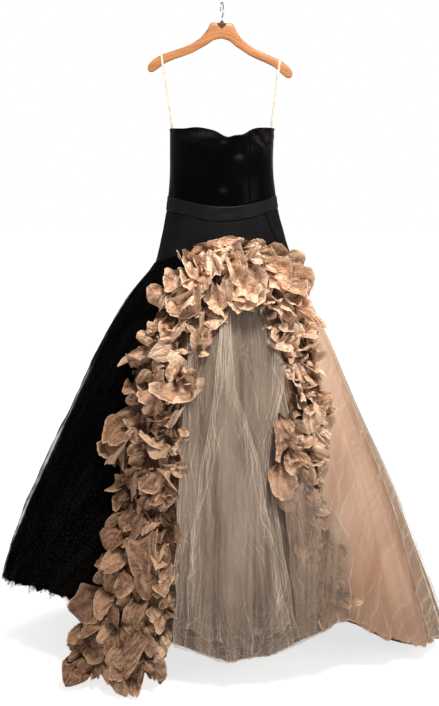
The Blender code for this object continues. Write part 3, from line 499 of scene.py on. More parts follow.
def tulleMaterial(name, look):
    material, tree, shader = startMaterial(name, look["fixed"])
    place = clothPlace(tree)
    side, edge, drop, low = (readMask(tree, key) for key in ("side", "edge", "drop", "low"))
    strands = useGroup(tree, strandGroup, {
        "Place": place, "Count": look["count"], "Bend": look["bend"], "Width": look["width"],
        "Cross": plus(tree, look["cross"], times(tree, low, look["lowCross"])), "Seed": look["seed"],
    })
    clouds = noise(tree, mapped(tree, place, Scale=look["cloudStretch"]), 1.0, 4.0)
    streaks = times(tree, strands["Streaks"], look["streakPart"])
    tone = plus(tree, streaks, ramp(tree, clouds, 0.32, 0.68, 0.0, look["cloudPart"]))
    near = plus(tree, look["lineStrength"], times(tree, side, look["sideStrength"]))
    strong = times(tree, strands["Lines"], near, clamp=True)
    body = mixColour(tree, tone, look["dark"], look["light"])
    # Painted light and shade by height: the head colour at the top, the foot colour down the drop and near
    # the hem.
    head = ramp(tree, drop, 0.10, 0.50, look["paintedHeadLight"], 0.0)
    for share, colour in (
        (head, "head"), (times(tree, drop, look["paintedDropShade"]), "foot"),
        (readMask(tree, "bright"), "line"), (times(tree, low, look["paintedHemShade"]), "foot"),
        (strong, "line"), (times(tree, edge, look["edgeStrength"]), "line"),
    ):
        body = mixColour(tree, share, body, look[colour])
    setInputs(tree, shader, {"Base Color": body})
    addBump(tree, shader, strands["Height"], look["bump"], look["bumpDepth"])
    if "alpha" in look:
        cover = ramp(tree, tone, 0.1, 0.9, *look["alpha"])
        for share, part in ((strong, "lineCover"), (side, "sideCover"), (edge, "edgeCover")):
            cover = plus(tree, cover, times(tree, share, look[part]))
        holes = ramp(tree, noise(tree, place, look["holeScale"], 2.0), 0.44, 0.54)
        whole = mathNode(tree, "SUBTRACT", 1.0, times(tree, readMask(tree, "torn"), holes), clamp=True)
        cover = times(tree, times(tree, cover, readMask(tree, "shown")), whole, clamp=True)
        setInputs(tree, shader, {"Alpha": cover})
    return material


# Painted light on the organza: the darker copies of body and pale are painted shade, deep is painted shade at
# the roots and in the fold valleys, and pale is painted highlight on rims, crests and creases.
organzaLook = {
    "deep": (0.055, 0.020, 0.009), "body": (0.76, 0.438, 0.270), "warm": (0.60, 0.295, 0.162),
    "pale": (1.0, 0.770, 0.565), "paintedShadeBody": (0.160, 0.071, 0.037), "paintedShadePale": (0.58, 0.350, 0.210),
    "fixed": {"Roughness": 0.6, "Specular IOR Level": 0.25, "Sheen Weight": 0.10, "Sheen Roughness": 0.45},
    "threads": {"Count": 120.0, "Bend": 9.0, "Width": 0.13, "Cross": 0.8, "Seed": 3.0},
    "cloudScale": 34.0, "warmPart": 0.5, "palePart": 0.65, "paintedRootShade": 0.92, "paintedCrestLight": 0.85, "paintedValleyShade": -0.55,
    "creaseScale": 62.0, "creaseLight": 0.30, "threadLight": 0.22, "rimLight": 0.95, "rootShade": 0.75,
    "crumple": 1.3, "threadDepth": 0.6, "bump": 0.55, "bumpDepth": 0.004, "shadeSoft": 0.55,
}


def organzaMaterial(name, look):
    material, tree, shader = startMaterial(name, look["fixed"])
    place = clothPlace(tree)
    strands = useGroup(tree, strandGroup, {"Place": place, **look["threads"]})
    tone, rim, shade, paintedFoldLight, reach = (readMask(tree, key) for key in ("tone", "rim", "shade", "paintedFoldLight", "reach"))
    # Painted shade: body and pale turn to their darker copies where the shade mask says.
    body = mixColour(tree, shade, look["body"], look["paintedShadeBody"])
    pale = mixColour(tree, shade, look["pale"], look["paintedShadePale"])
    clouds = ramp(tree, noise(tree, place, look["cloudScale"], 5.0), 0.35, 0.75, 0.0, look["warmPart"])
    mottled = mixColour(tree, shade, mixColour(tree, clouds, body, look["warm"]), body)
    varied = mixColour(tree, times(tree, mathNode(tree, "POWER", tone, 2.0), look["palePart"]), mottled, pale)
    # Painted shade at the petals' roots.
    root = ramp(tree, reach, 0.0, 0.70, 1.0, 0.0)
    rooted = mixColour(tree, times(tree, root, look["paintedRootShade"]), varied, look["deep"])
    # Painted shade in the fold valleys and painted highlight on the crests, softer where shaded.
    softer = rest(tree, shade, look["shadeSoft"])
    paintedValleyShade, paintedCrestLight = (
        times(tree, times(tree, paintedFoldLight, look[key]), softer, clamp=True) for key in ("paintedValleyShade", "paintedCrestLight")
    )
    folded = mixColour(tree, paintedValleyShade, rooted, look["deep"])
    # Fine creases of the crumpled cloth: where soft noise passes its middle value. They bump the surface and
    # are painted lighter as painted highlight.
    fine = noise(tree, place, look["creaseScale"], 2.5)
    ridge = ramp(tree, mathNode(tree, "ABSOLUTE", mathNode(tree, "SUBTRACT", fine, 0.5)), 0.0, 0.12)
    creased = ramp(tree, ridge, 0.0, 0.30, look["creaseLight"], 0.0)
    threads = mathNode(tree, "MAXIMUM", times(tree, strands["Lines"], look["threadLight"]), creased)
    # Painted highlight on the rims and creases, with the pale threads, faded by the painted shade at the
    # roots.
    bright = plus(tree, times(tree, rim, look["rimLight"]), threads, clamp=True)
    faded = times(tree, mathNode(tree, "MAXIMUM", bright, paintedCrestLight), rest(tree, root, look["rootShade"]))
    setInputs(tree, shader, {"Base Color": mixColour(tree, faded, folded, pale)})
    threadHeight = times(tree, strands["Height"], look["threadDepth"])
    crumple = plus(tree, times(tree, ridge, look["crumple"]), threadHeight)
    addBump(tree, shader, crumple, look["bump"], look["bumpDepth"])
    return material


woodLook = {
    "pale": (0.58, 0.245, 0.085), "dark": (0.25, 0.080, 0.026), "gloss": (0.38, 0.55),
    "fixed": {"Coat Weight": 0.06, "Coat Roughness": 0.30}, "bump": 0.25,
}


def woodMaterial(name, look):
    material, tree, shader = startMaterial(name, look["fixed"])
    grain = useGroup(tree, grainGroup, {"Place": clothPlace(tree)})
    setInputs(tree, shader, {
        "Base Color": mixColour(tree, grain["Grain"], look["pale"], look["dark"]),
        "Roughness": ramp(tree, grain["Grain"], 0.0, 1.0, *look["gloss"]),
    })
    addBump(tree, shader, grain["Height"], look["bump"], 0.0006)
    return material


hardLooks = {
    "darkWedgeFinish": {"colour": (0.060, 0.022, 0.010), "roughness": 0.55, "scale": 200.0, "metallic": 0.0},
    "hookSteel": {"colour": (0.60, 0.58, 0.55), "roughness": 0.22, "scale": 160.0, "metallic": 1.0},
    "collarSteel": {"colour": (0.20, 0.16, 0.13), "roughness": 0.40, "scale": 300.0, "metallic": 1.0},
    "zipMetal": {"colour": (0.045, 0.045, 0.048), "roughness": 0.35, "scale": 400.0, "metallic": 1.0},
}


def hardMaterial(name, look):
    material, tree, shader = startMaterial(name, {"Metallic": look["metallic"]})
    place = addNode(tree, "ShaderNodeTexCoord").outputs["Object"]
    marks = noise(tree, place, look["scale"], 4.0)
    dark, rough = tuple(c * 0.6 for c in look["colour"]), look["roughness"]
    setInputs(tree, shader, {
        "Base Color": mixColour(tree, ramp(tree, marks, 0.35, 0.65), dark, look["colour"]),
        "Roughness": ramp(tree, marks, 0.3, 0.7, rough * 0.8, rough * 1.4),
    })
    addBump(tree, shader, marks, 0.08, 0.0003)
    return material


finish = {}
for make, looks in (
    (wovenMaterial, wovenLooks), (tulleMaterial, tulleLooks), (hardMaterial, hardLooks),
    (organzaMaterial, {"crumpledOrganza": organzaLook}), (woodMaterial, {"varnishedWood": woodLook}),
):
    for name, look in looks.items():
        finish[name] = make(name, look)
print("materials made:", len(bpy.data.materials))


# Cloth fitted between two seams, a piece at a time: rows run from its top edge to its foot.
def buildFitted(look, out, mark):
    for name, node, lowAngle, highAngle, columns, flat in look["pieces"]:
        share = np.linspace(0.0, 1.0, look["rows"])[:, None]
        angle = np.linspace(lowAngle, highAngle, columns)[None, :] + 0.0 * share
        top = seamHeight(angle, look["top"]) - (0.0 if look["top"] == neck else halfSeam)
        foot = seamHeight(angle, look["foot"]) + halfSeam
        height = top + (foot - top) * share
        perDegree = metresPerDegree(angle, height)
        toSeam = np.minimum(angle - lowAngle, highAngle - angle) * perDegree
        inward = np.where(angle - lowAngle < highAngle - angle, 1.0, -1.0) * halfSeam / perDegree
        atSeam = np.where((angle == lowAngle) | (angle == highAngle), inward, 0.0)
        toEnd = np.minimum(top - height, height - foot)
        points = formPoint(angle + atSeam, height, out(angle, height, toSeam, toEnd))
        uv = np.stack([angle * perDegree, height], axis=-1)
        # The mask is painted light: painted highlight on the satins, painted shade in the crepe's groove.
        piece = addGrid(name, points, finish[look["cloth"]], uv, {"mark": mark(angle, height)})
        dressPiece(thicken(piece, look["wall"]), node)
    print(look["cloth"], "pieces built")


# In a row of pieces: name, node, angles of both sides, columns, flat size.
# Dents and painted glints: x, height, width and rise, or brightness of the painted highlight.
bodiceLook = {
    "cloth": "blackSatin", "slot": "black_satin", "top": neck, "foot": bandTop, "rows": 48, "wall": 0.0016,
    "pieces": (
        ("bodiceBackLeft", "bodice_back_left", -180, -90, 40, (0.20, 0.215)),
        ("bodiceSideFrontLeft", "bodice_side_front_left", -90, -29, 40, (0.14, 0.215)),
        ("bodiceCentreFront", "bodice_centre_front", -29, 30, 56, (0.14, 0.215)),
        ("bodiceSideFrontRight", "bodice_side_front_right", 30, 90, 54, (0.14, 0.215)),
        ("bodiceBackRight", "bodice_back_right", 90, 180, 40, (0.20, 0.215)),
    ),
    "seamSink": 0.00035, "seamWidth": 0.0018, "edgeRoll": 0.0010,
    "rightPull": 0.0022, "leftPull": 0.0012, "crumple": 0.0009,
    "dents": ((0.006, -0.372, 0.010, 0.0018), (0.045, -0.415, 0.013, 0.0026), (0.003, -0.502, 0.012, 0.0018)),
    "rightShine": 0.60, "leftShine": 0.34, "sideShine": 0.10,
    "glints": ((0.004, -0.372, 0.007, 0.45), (0.044, -0.412, 0.009, 0.75), (0.003, -0.500, 0.008, 0.45)),
}


def buildBodice():
    look = bodiceLook

    # Drag lines of the satin: at the right cup, over the left one and above the waist.
    def out(angle, height, toSeam, toEnd):
        x = formAxes(angle, height)[0] * np.sin(np.radians(angle))
        steep = np.abs(np.sin((x * 0.75 + height * 0.66) * 190.0 + 0.6))
        steep = steep + 0.7 * np.abs(np.sin((x * 0.75 - height * 0.66) * 150.0))
        long = np.sin((height * 0.95 + x * 0.22) * 230.0)
        pulls = look["rightPull"] * bell(x - 0.112, 0.034) * bell(height + 0.368, 0.032) * steep
        pulls = pulls + look["leftPull"] * bell(x + 0.055, 0.060) * bell(height + 0.360, 0.018) * long
        for dentX, dentZ, wide, rise in look["dents"]:
            pulls = pulls + rise * bell(x - dentX, wide) * bell(height - dentZ, wide)
        waist = smoothStep(-0.46, -0.52, height) * ripple(angle / 9.0, height * 26.0, 21)
        pulls = pulls + look["crumple"] * (waist + ripple(angle / 16.0, height * 9.0, 22))
        roll = look["edgeRoll"] * smoothStep(0.006, 0.003, seamHeight(angle, neck) - height)
        return pulls - look["seamSink"] * bell(toSeam, look["seamWidth"]) + roll

    # Where the satin catches the light, painted as highlight into its colour: on both cups, at three dents
    # and along the right side.
    def glints(angle, height):
        x = formAxes(angle, height)[0] * np.sin(np.radians(angle))
        wave = (x * 0.75 + height * 0.66) * 210.0 + 2.0 * ripple(x * 40.0, height * 40.0, 23)
        streaks = 0.15 + (0.5 + 0.5 * np.sin(wave)) ** 2
        right = bell(x - 0.106, 0.025) * bell(height + 0.366, 0.025) * streaks
        left = bell(x + 0.050, 0.058) * bell(height + 0.350 - 0.10 * (x + 0.05), 0.011)
        side = bell(x - 0.138, 0.009) * smoothStep(-0.53, -0.45, height)
        total = look["rightShine"] * right + look["leftShine"] * left + look["sideShine"] * side
        for glintX, glintZ, wide, part in look["glints"]:
            total = total + part * bell(x - glintX, wide) * bell((height - glintZ) * 1.4, wide)
        front = np.cos(np.radians(angle)) > 0.0
        return np.clip(total * front * (0.8 + 0.5 * ripple(x * 90.0, height * 90.0, 24)), 0.0, 1.0)

    buildFitted(look, out, glints)


bandLook = {
    "cloth": "bandSatin", "slot": "black_satin", "top": bandTop, "foot": bandFoot, "rows": 18, "wall": 0.0028,
    "pieces": (
        ("waistbandBackLeft", "waistband_back_left", -180, -90, 40, (0.21, 0.041)),
        ("waistbandFront", "waistband_front", -90, 90, 110, (0.44, 0.041)),
        ("waistbandBackRight", "waistband_back_right", 90, 180, 40, (0.21, 0.041)),
    ),
    "raise": 0.0022, "edgeWidth": 0.0020, "seamSink": 0.0010, "seamWidth": 0.002,
    "shines": ((0.04, 10.0, 18.0), (0.05, 62.0, 14.0)),  # brightness, angle, width
}


def buildWaistband():
    look = bandLook

    def out(angle, height, toSeam, toEnd):
        rounded = look["raise"] * (1.0 - 0.8 * bell(toEnd, look["edgeWidth"]))
        creased = 0.0009 * ripple(angle / 14.0, height * 50.0, 31)
        creased = creased + 0.0005 * ripple(angle / 5.0, height * 90.0, 32)
        return rounded + creased - look["seamSink"] * bell(toSeam, look["seamWidth"])

    # The band's satin is painted lighter at the middle of the front and at its right, as painted highlight.
    def shine(angle, height):
        total = sum(part * bell(angle - middle, width) for part, middle, width in look["shines"])
        return total * (0.8 + 0.6 * ripple(angle / 6.0, height * 60.0, 33))

    buildFitted(look, out, shine)


yokeLook = {
    "cloth": "blackCrepe", "slot": "black_crepe", "top": bandFoot, "foot": skirtSeam,
    "rows": 26, "wall": 0.0018,
    "pieces": (
        ("yokeBackLeft", "yoke_back_left", -180, -90, 40, (0.22, 0.165)),
        ("yokeFront", "yoke_front", -90, 90, 160, (0.42, 0.125)),
        ("yokeBackRight", "yoke_back_right", 90, 180, 40, (0.22, 0.165)),
    ),
    "grooveAngle": 48.0, "grooveLean": 14.0, "groove": 0.0016, "grooveWidth": 2.2, "paintedGrooveShade": 0.95,
    "edgeSink": 0.0008,
}


def buildYoke():
    look = yokeLook

    # The side seam of the front shows as a groove on the viewer's right, painted darker as painted shade.
    def grooveAt(angle, height):
        share = (height + 0.56) / -0.13
        return bell(angle - look["grooveAngle"] - look["grooveLean"] * share, look["grooveWidth"])

    def out(angle, height, toSeam, toEnd):
        soft = 0.0012 * ripple(angle / 15.0, height * 14.0, 41)
        soft = soft + 0.0006 * ripple(angle / 4.0, height * 30.0, 42)
        edge = look["edgeSink"] * (bell(toSeam, 0.0022) + bell(toEnd, 0.0020))
        return soft - look["groove"] * grooveAt(angle, height) - edge

    buildFitted(look, out, lambda angle, height: look["paintedGrooveShade"] * grooveAt(angle, height))


# Long folds of the skirt, as in the solids, and finer gathers on top. Flat areas:
# height, then the two angles on each side between which the skirt lies flat.
foldLook = {
    "height": 0.017, "round": 31.0, "frontHalf": 16.0, "frontPart": 0.5, "calmRamp": 4.0,
    "flatAreas": np.array([
        (-1.750, -42.0, -5.0, 14.0, 46.0), (-1.420, -48.0, -6.0, 14.0, 53.0),
        (-1.090, -49.0, -1.0, 14.0, 59.0), (-0.900, -50.0, 2.0, 2.0, 78.0),
    ]),
}


def flatPart(angle, height):
    angle = wrapped(angle)
    result = np.ones(angle.shape)
    for low, high in ((1, 2), (3, 4)):
        lowAngle, highAngle = (readStraight(foldLook["flatAreas"], k, height) for k in (low, high))
        outside = np.maximum(lowAngle - angle, angle - highAngle)
        result = np.minimum(result, np.clip(outside / foldLook["calmRamp"], 0.0, 1.0))
    return result


def longFold(hemAngle, share):
    turn = np.radians(hemAngle)
    phase = foldLook["round"] * turn + 1.5 * np.sin(3.0 * turn) + 1.1 * np.sin(7.0 * turn + 0.8)
    wave = 0.72 * np.sin(phase) + 0.38 * np.sin(0.5 * phase + 2.1 * turn)
    uneven = 0.75 + 0.25 * np.sin(5.0 * turn + 1.7)
    inFront = np.abs(wrapped(hemAngle)) < foldLook["frontHalf"]
    uneven = np.where(inFront, uneven * foldLook["frontPart"], uneven)
    growth = np.minimum(1.0, 0.10 + share) * np.minimum(1.0, share * 9.0)
    return foldLook["height"] * wave * uneven * growth


# A layer has the angles of its edges at the seam and the hem, or a table of its sides
# (share of the drop, both angles). Out is how far it stands off at the seam and below,
# ragged and lobe shape its hem, and threads are pale lines along its sides.
layerBase = {
    "rows": 90, "from": 0.0, "foldPart": 1.0, "crush": 0.0010, "torn": 0.0, "lobe": 2.1, "hemLift": 0.0,
    "hemEdge": 0.4, "edgeWidth": 0.0022, "sideEdge": 0.0, "edgeSides": (1.0, 1.0), "threads": (),
    "sideGain": 1.0, "sideReach": 0.12, "stripe": (0.0, 1.0, 0.0),
}
skirtLook = fullLooks({
    "skirtBlack": {
        "node": "skirt_black", "slot": "black_tulle", "cloth": "blackTulle", "top": (118.0, 333.0),
        "foot": (118.0, 333.0), "rows": 100, "columns": 330, "out": (0.0, -0.010), "gather": 0.0035,
        "crush": 0.0030, "ragged": 0.010, "seed": 51, "flat": (1.60, 1.14),
    },
    "skirtFront": {
        "node": "skirt_front", "slot": "taupe_tulle", "cloth": "taupeTulle", "top": (-27.0, 30.0),
        "foot": (-27.0, 30.0), "rows": 150, "columns": 130, "out": (0.0, -0.006), "gather": 0.0045,
        "crush": 0.0040, "ragged": 0.004, "lobe": 5.0, "seed": 61, "flat": (0.46, 1.14),
        "stripe": (4.0, 3.0, 0.40),
    },
    "skirtBlush": {
        "node": "skirt_blush", "slot": "blush_tulle", "cloth": "blushTulle", "top": (30.0, 84.0),
        "foot": (30.0, 70.0), "rows": 100, "columns": 130, "out": (0.0, -0.004), "gather": 0.0072,
        "ragged": 0.014, "lobe": 3.2, "seed": 71, "flat": (0.30, 1.18), "stripe": (58.0, 6.0, 0.45),
    },
    "skirtNude": {
        "node": "skirt_nude", "slot": "nude_tulle", "cloth": "nudeTulle", "top": (84.0, 118.0),
        "foot": (70.0, 118.0), "rows": 100, "columns": 120, "out": (0.0, -0.008), "gather": 0.0070,
        "ragged": 0.012, "lobe": 3.2, "seed": 81, "flat": (0.28, 1.18),
    },
    "blackSheerInner": {
        "slot": "black_tulle", "cloth": "blackTulleSheer", "top": (119.0, 332.0), "foot": (119.0, 332.0),
        "rows": 76, "columns": 250, "out": (0.001, 0.000), "gather": 0.0050, "crush": 0.0030, "foldPart": 0.8,
        "ragged": 0.014, "torn": 0.016, "seed": 91, "flat": (1.60, 1.14),
    },
    "blackSheerOuter": {
        "like": "blackSheerInner", "top": (120.0, 331.0), "foot": (120.0, 331.0), "out": (0.002, 0.006),
        "gather": 0.0100, "crush": 0.0050, "foldPart": 0.9, "ragged": 0.018, "torn": 0.026, "seed": 101,
        "flat": (1.65, 1.14),
    },
    "frontSheerInner": {
        "slot": "taupe_tulle", "cloth": "taupeTulleSheer", "top": (-26.0, 29.0), "foot": (-26.0, 29.0),
        "rows": 110, "columns": 100, "out": (0.001, 0.002), "gather": 0.0045, "crush": 0.0040,
        "foldPart": 0.7, "ragged": 0.006, "lobe": 6.0, "seed": 111, "flat": (0.46, 1.14), "sideEdge": 0.8,
    },
    "frontSheerOuter": {
        "slot": "taupe_tulle", "cloth": "taupeTulleSheer", "sideWave": 1.1,
        "sides": (
            (0.0, -24.0, 24.0), (0.12, -22.0, 26.0), (0.20, -18.0, 29.0), (0.30, -15.0, 30.0),
            (0.35, -14.5, 27.5), (0.417, -14.3, 23.0), (0.47, -14.0, 18.5), (0.535, -13.6, 16.2),
            (0.63, -13.0, 17.0), (0.73, -12.2, 17.2), (0.92, -11.0, 18.2), (1.0, -11.0, 19.5),
        ),
        "rows": 120, "columns": 100, "out": (0.003, 0.022), "gather": 0.0055, "crush": 0.0045,
        "foldPart": 0.5, "ragged": 0.006, "lobe": 6.0, "hemLift": 0.012, "seed": 121, "flat": (0.36, 1.14),
        "sideEdge": 0.60, "threads": ((0.006, 0.8), (0.014, 0.6), (0.024, 0.4)),
    },
    "frontSheerMiddle": {
        "slot": "taupe_tulle", "cloth": "taupeTulleSheer", "sideWave": 0.7, "from": 0.10,
        "sides": (
            (0.10, -1.0, 4.0), (0.20, -1.5, 4.5), (0.35, -3.0, 6.2), (0.49, -5.5, 11.5), (0.61, -7.2, 13.2),
            (0.75, -8.2, 14.8), (1.0, -8.2, 16.8),
        ),
        "rows": 120, "columns": 80, "out": (0.026, 0.027), "gather": 0.0060, "crush": 0.0050, "foldPart": 0.4,
        "ragged": 0.020, "lobe": 3.5, "hemLift": 0.075, "hemEdge": 0.30, "seed": 171, "flat": (0.17, 1.02),
        "sideEdge": 0.48, "sideReach": 0.045, "sideGain": 1.25,
        "threads": ((0.006, 0.9), (0.013, 0.8), (0.021, 0.7), (0.031, 0.6), (0.044, 0.45)),
    },
    "sideVeil": {
        "slot": "taupe_tulle", "cloth": "taupeVeil", "sideWave": 0.8, "from": 0.55,
        "sides": (
            (0.55, 20.0, 26.0), (0.62, 19.5, 30.0), (0.70, 19.0, 35.5), (0.80, 18.5, 38.0),
            (0.90, 18.5, 35.0), (1.0, 19.0, 33.0),
        ),
        "rows": 80, "columns": 60, "out": (0.050, 0.050), "gather": 0.0240, "crush": 0.0300, "foldPart": 0.3,
        "edgeSides": (0.0, 0.8), "ragged": 0.010, "torn": 0.012, "lobe": 4.0, "hemLift": 0.034, "seed": 181,
        "flat": (0.16, 0.50), "sideEdge": 0.7,
    },
    "blushSheer": {
        "slot": "blush_tulle", "cloth": "blushTulleSheer", "top": (31.0, 86.0), "foot": (31.0, 74.0),
        "columns": 110, "out": (0.001, 0.005), "gather": 0.0065, "foldPart": 0.8, "ragged": 0.006,
        "lobe": 4.0, "hemLift": 0.01, "seed": 131, "flat": (0.32, 1.18), "sideEdge": 0.8,
    },
    "nudeSheer": {
        "slot": "nude_tulle", "cloth": "nudeTulleSheer", "top": (82.0, 118.0), "foot": (66.0, 118.0),
        "columns": 100, "out": (0.001, 0.005), "gather": 0.0060, "foldPart": 0.8, "ragged": 0.008,
        "lobe": 4.0, "hemLift": 0.02, "seed": 141, "flat": (0.30, 1.18), "sideEdge": 0.8,
    },
}, layerBase)


def between(ends, share):
    return ends[0] + (ends[1] - ends[0]) * share


# Points, cloth places and masks of one tulle layer.
def tulleLayer(look):
    seed, first = look["seed"], look["from"]
    even = np.linspace(0.0, 1.0, look["rows"])[:, None]
    share = first + (1.0 - first) * (0.3 * even + 0.7 * (1.0 - (1.0 - even) ** 2))
    across = np.linspace(0.0, 1.0, look["columns"])[None, :]
    if look["sideEdge"]:  # columns stand closer at the sides, where the edge shows
        across = 0.55 * across + 0.45 * (0.5 - 0.5 * np.cos(np.pi * across))
    share, across = np.broadcast_arrays(share, across)
    if "sides" in look:
        sides, wave = np.array(look["sides"]), look["sideWave"]
        low = readSmooth(sides, 1, share) + wave * ripple(share * 9.0, 0.3, seed + 7)
        high = readSmooth(sides, 2, share) + wave * ripple(share * 9.0, 0.7, seed + 8)
        hemAngle = angle = low + (high - low) * across
        span = np.abs(high - low)
    else:
        hemAngle = between(look["foot"], across)
        angle = between((between(look["top"], across), hemAngle), share)
        span = look["foot"][1] - look["foot"][0]

    # Where it hangs: gathers, crushed creases and long folds, calmer under the ruffles.
    lobes = ripple(hemAngle / look["lobe"], 0.5, seed) + 0.4 * ripple(hemAngle / 0.7, 1.5, seed + 1)
    seam = seamHeight(angle, skirtSeam) - 2.0 * halfSeam
    foot = seamHeight(hemAngle, hem) + look["hemLift"] + look["ragged"] * lobes
    height = seam + (foot - seam) * share
    calm = flatPart(angle, height)
    gathers = ripple(hemAngle / 3.2, share * 1.3, seed + 2)
    gathers = gathers + 0.45 * ripple(hemAngle / 1.25, share * 2.6, seed + 3)
    crushed = crease(hemAngle / 2.0 + share * 1.5, share * 4.0, seed + 4, 3.0) - 0.4
    crushed = crushed + 0.6 * (crease(hemAngle / 1.1 - share * 3.0, share * 7.0, seed + 5, 3.0) - 0.4)
    fine = (look["gather"] * gathers + look["crush"] * crushed) * smoothStep(0.0, 0.22, share)
    out = between(look["out"], smoothStep(0.0, 0.35, share)) + fine * (0.25 + 0.75 * calm)
    points = formPoint(angle, height, out + longFold(hemAngle, share) * calm * look["foldPart"])

    # Its cut, and how far each point lies from both sides and the hem, in metres.
    perDegree = metresPerDegree(hemAngle, -1.5)
    uv = np.stack([hemAngle * perDegree * (0.35 + 0.65 * share), -height], axis=-1)
    width = span * perDegree * (0.3 + 0.7 * share)
    toSides, toHem = (across * width, (1.0 - across) * width), height - foot
    sideLine = 0.0 * share
    for toSide, part in zip(toSides, look["edgeSides"]):
        sideLine = np.maximum(sideLine, part * bell(toSide, look["edgeWidth"]))
        for k, (offset, strength) in enumerate(look["threads"]):
            course = offset * (1.0 + 0.6 * ripple(share * 7.0, 0.37 * k + part, seed + 9))
            broken = np.clip(0.75 + 0.9 * ripple(share * 16.0, 0.9 * k + part, seed + 10), 0.2, 1.0)
            sideLine = np.maximum(sideLine, broken * part * strength * bell(toSide - course, 0.0020))
    nearSide = look["sideGain"] * smoothStep(look["sideReach"], 0.01, np.minimum(*toSides))
    stripeAngle, stripeWidth, stripe = look["stripe"]
    return points, uv, {
        "edge": np.maximum(look["hemEdge"] * bell(toHem, 0.003), look["sideEdge"] * sideLine),
        "torn": smoothStep(look["torn"], 0.0, toHem) if look["torn"] else 0.0 * share,
        "side": np.maximum(nearSide, 0.6 * smoothStep(0.20, 0.04, toHem)),
        "drop": share, "low": smoothStep(0.24, 0.03, toHem),
        "bright": stripe * bell(angle - stripeAngle, stripeWidth) * (1.0 - 0.6 * share),
        "shown": smoothStep(first, first + 0.10, share) if first else 1.0 + 0.0 * share,
    }


def buildSkirt():
    for name, look in skirtLook.items():
        points, uv, masks = tulleLayer(look)
        piece = addGrid(name, points, finish[look["cloth"]], uv, masks)
        dressPiece(piece, look.get("node"))
        print("  layer", name, "area", clothArea(piece))
    print("skirt built")


# Insets: share of the drop, how far the inner skirt lies inside the dress's form.
underskirtLook = {
    "rows": 60, "columns": 200, "wall": 0.0012, "sway": 0.005, "crumple": 0.004, "flat": (2.15, 1.16),
    "shares": (-0.06, 1.008),
    "insets": np.array([
        (-0.06, 0.003), (0.0, 0.003), (0.045, 0.009), (0.10, 0.018), (0.25, 0.0288), (0.62, 0.032),
        (1.0, 0.032),
    ]),
}


def buildUnderskirt():
    look = underskirtLook
    share = np.linspace(*look["shares"], look["rows"])[:, None]
    angle = np.linspace(-180.0, 180.0, look["columns"], endpoint=False)[None, :]
    seam, foot = seamHeight(angle, skirtSeam), seamHeight(angle, hem)
    height = seam + (foot - seam) * share
    sway = look["sway"] * np.sin(np.radians(11.0 * angle)) * np.clip(share, 0.0, 1.0)
    sway = sway + look["crumple"] * ripple(angle / 2.5, share * 2.0, 151) * np.clip(share * 2.0, 0.0, 1.0)
    points = formPoint(angle, height, sway - readStraight(look["insets"], 1, share))
    uv = np.stack([angle * 0.012 + 0.0 * height, -height], axis=-1)
    piece = addGrid("innerSkirt", points, finish["darkUnderlayer"], uv, closed=True)
    dressPiece(thicken(piece, look["wall"]), "underskirt")
    print("underskirt built, area", clothArea(piece))


# Kind of petal (fan, cup, leaf or bowl), root angle, height, turn from straight down,
# width, length, lift, bend and share of the creases.
crownPetals = (
    ("cup", -20, -0.705, -165, 0.080, 0.050, 40, -20, 0.9),
    ("cup", -8, -0.672, -165, 0.080, 0.056, 20, -30, 0.8),
    ("cup", 4, -0.664, -178, 0.110, 0.042, 12, -10, 0.8),
    ("cup", 15, -0.668, 165, 0.100, 0.040, 10, -10, 0.8),
    ("bowl", -24, -0.715, -30, 0.090, 0.080, 48, 60, 0.7),
    ("bowl", -32, -0.765, -24, 0.090, 0.080, 50, 66, 0.8),
    ("bowl", -16, -0.700, 10, 0.095, 0.085, 46, 60, 0.7),
    ("bowl", -20, -0.768, 6, 0.110, 0.095, 50, 66, 0.7),
    ("fan", -10, -0.662, 24, 0.095, 0.085, 50, 40, 0.8),
    ("bowl", 0, -0.676, 36, 0.100, 0.085, 36, 44, 0.7),
    ("bowl", 10, -0.700, 6, 0.125, 0.135, 40, 58, 0.5),
    ("fan", 14, -0.752, 22, 0.075, 0.072, 52, 44, 0.7),
    ("bowl", -3, -0.752, 16, 0.085, 0.085, 56, 60, 0.8),
    ("bowl", 14, -0.662, 84, 0.075, 0.085, 18, 20, 0.7),
    ("bowl", 24, -0.672, 70, 0.085, 0.095, 18, 30, 0.7),
    ("bowl", 22, -0.700, 58, 0.095, 0.115, 24, 38, 0.7),
    ("bowl", 36, -0.694, 60, 0.090, 0.095, 18, 36, 0.7),
    ("bowl", 34, -0.726, 52, 0.095, 0.110, 24, 42, 0.7),
    ("bowl", 40, -0.716, 50, 0.080, 0.076, 16, 46, 0.7),
    ("bowl", 32, -0.760, 46, 0.090, 0.110, 26, 46, 0.7),
    ("bowl", 39, -0.752, 36, 0.090, 0.085, 20, 52, 0.7),
    ("bowl", 45, -0.748, 30, 0.076, 0.060, 14, 50, 0.7),
    ("bowl", 40, -0.790, 24, 0.085, 0.080, 20, 52, 0.8),
    ("bowl", 48, -0.785, 16, 0.076, 0.060, 14, 52, 0.8),
)
rightPetals = (
    ("bowl", 23.5, -1.090, -6, 0.060, 0.070, 26, 60, 0.8),
    ("cup", 27.0, -1.100, 6, 0.060, 0.060, 30, 70, 0.8),
    ("bowl", 24.0, -1.120, -8, 0.070, 0.080, 26, 60, 0.8),
    ("cup", 21.5, -1.155, 6, 0.062, 0.070, 24, 60, 0.8),
    ("bowl", 24.5, -1.185, 14, 0.070, 0.075, 28, 70, 0.8),
    ("bowl", 20.5, -1.215, -4, 0.080, 0.095, 16, 45, 0.7),
    ("cup", 23.5, -1.265, 10, 0.070, 0.070, 24, 60, 0.8),
    ("fan", 20.0, -1.300, 0, 0.060, 0.060, 20, 50, 0.8),
)

